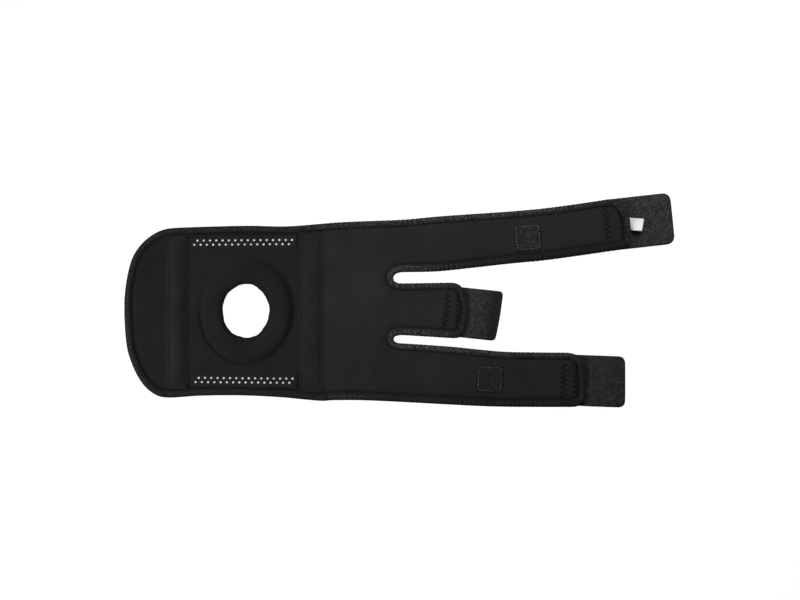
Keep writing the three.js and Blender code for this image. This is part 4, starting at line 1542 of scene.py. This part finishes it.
# Soft boxes: place, what each is aimed at, size, watts, and spread of its beam in degrees
LIGHTS = {
    "side key": ((-1.02, -0.24, 0.48), (-0.03, 0, 0), 0.45, 1.28, 54),
    "strap light": ((0.45, 0.68, 0.4), (0.1, 0.15, 0), 0.35, 1.78, 100),
    "overhead": ((-0.2, 0.13, 0.56), (-0.2, 0.13, 0), 0.4, 0.38, 150),
}
PHOTO_WIDTH = 800
PHOTO_HEIGHT = 600
MM_PER_PIXEL = 1.2
PHOTO_MIDDLE = (399.85, 300.5)  # pixel of the photograph at the part's origin
LENS = 85
SENSOR = 36


def floor():
    bpy.ops.mesh.primitive_plane_add(size=FLOOR_SIZE, location=(0, 0, -FLOOR_DROP))
    made = bpy.context.object
    made.name = "floor"
    white, tree, shader = material("floor_white")
    place = node(tree, "ShaderNodeTexCoord").outputs["Object"]
    paper = node(tree, "ShaderNodeTexNoise", {"Vector": place, "Scale": 3.0})
    least, most = FLOOR_TONE
    ramp = node(tree, "ShaderNodeMapRange", {"Value": paper.outputs["Fac"], "To Min": least, "To Max": most})
    tree.links.new(ramp.outputs[0], shader.inputs["Base Color"])
    shader.inputs["Roughness"].default_value = 0.9
    shader.inputs["Specular IOR Level"].default_value = 0.1
    shader.inputs["Emission Color"].default_value = (1, 1, 1, 1)
    seen = node(tree, "ShaderNodeLightPath").outputs["Is Camera Ray"]
    tree.links.new(maths(tree, "MULTIPLY", seen, FLOOR_GLOW), shader.inputs["Emission Strength"])
    white.cycles.emission_sampling = "NONE"
    made.data.materials.append(white)


def softbox(name, place, aim, size, watts, spread):
    light = bpy.data.lights.new(name, "AREA")
    light.shape, light.size, light.energy = "DISK", size, watts
    light.spread = math.radians(spread)
    made = bpy.data.objects.new(name, light)
    made.location = place
    made.rotation_euler = (Vector(aim) - Vector(place)).to_track_quat("-Z", "Y").to_euler()
    made.visible_camera = False
    bpy.context.scene.collection.objects.link(made)


def studio():
    world = bpy.data.worlds.new("studio")
    world.use_nodes = True
    tree = world.node_tree
    sky = tree.nodes["Background"].inputs
    sky["Color"].default_value = (1, 1, 1, 1)
    seen = node(tree, "ShaderNodeLightPath").outputs["Is Camera Ray"]
    tree.links.new(maths(tree, "MAXIMUM", seen, SKY_LIGHT), sky["Strength"])
    bpy.context.scene.world = world
    for name, row in LIGHTS.items():
        softbox(name, *row)
    bpy.context.scene.view_settings.view_transform = "Standard"


def camera():
    """Straight above, framed as the photograph is."""
    lens = bpy.data.cameras.new("camera")
    lens.lens, lens.sensor_width = LENS, SENSOR
    lens.clip_end = 20
    width = PHOTO_WIDTH * MM_PER_PIXEL * MM
    made = bpy.data.objects.new("camera", lens)
    made.location = (
        (PHOTO_WIDTH / 2 - PHOTO_MIDDLE[0]) * MM_PER_PIXEL * MM,
        (PHOTO_MIDDLE[1] - PHOTO_HEIGHT / 2) * MM_PER_PIXEL * MM,
        width * LENS / SENSOR,
    )
    bpy.context.scene.collection.objects.link(made)
    bpy.context.scene.camera = made


camera()
studio()
floor()
panels()
edge_binding()
patella_pad()
for name, row in POCKETS.items():
    stay_pocket(name, *row)
for name, row in GRIP_STRIPS.items():
    face_piece(name, row, STRIP_ROWS, GRIP)
    grip_dots(name, row)
for name, row in STRAP_PATCHES.items():
    face_piece(name, row, PATCH_ROWS, PATCH, PATCH_PILE)
for name, row in HOOK_TABS.items():
    hook_tab(name, *row)
size_label()
all_stitching()
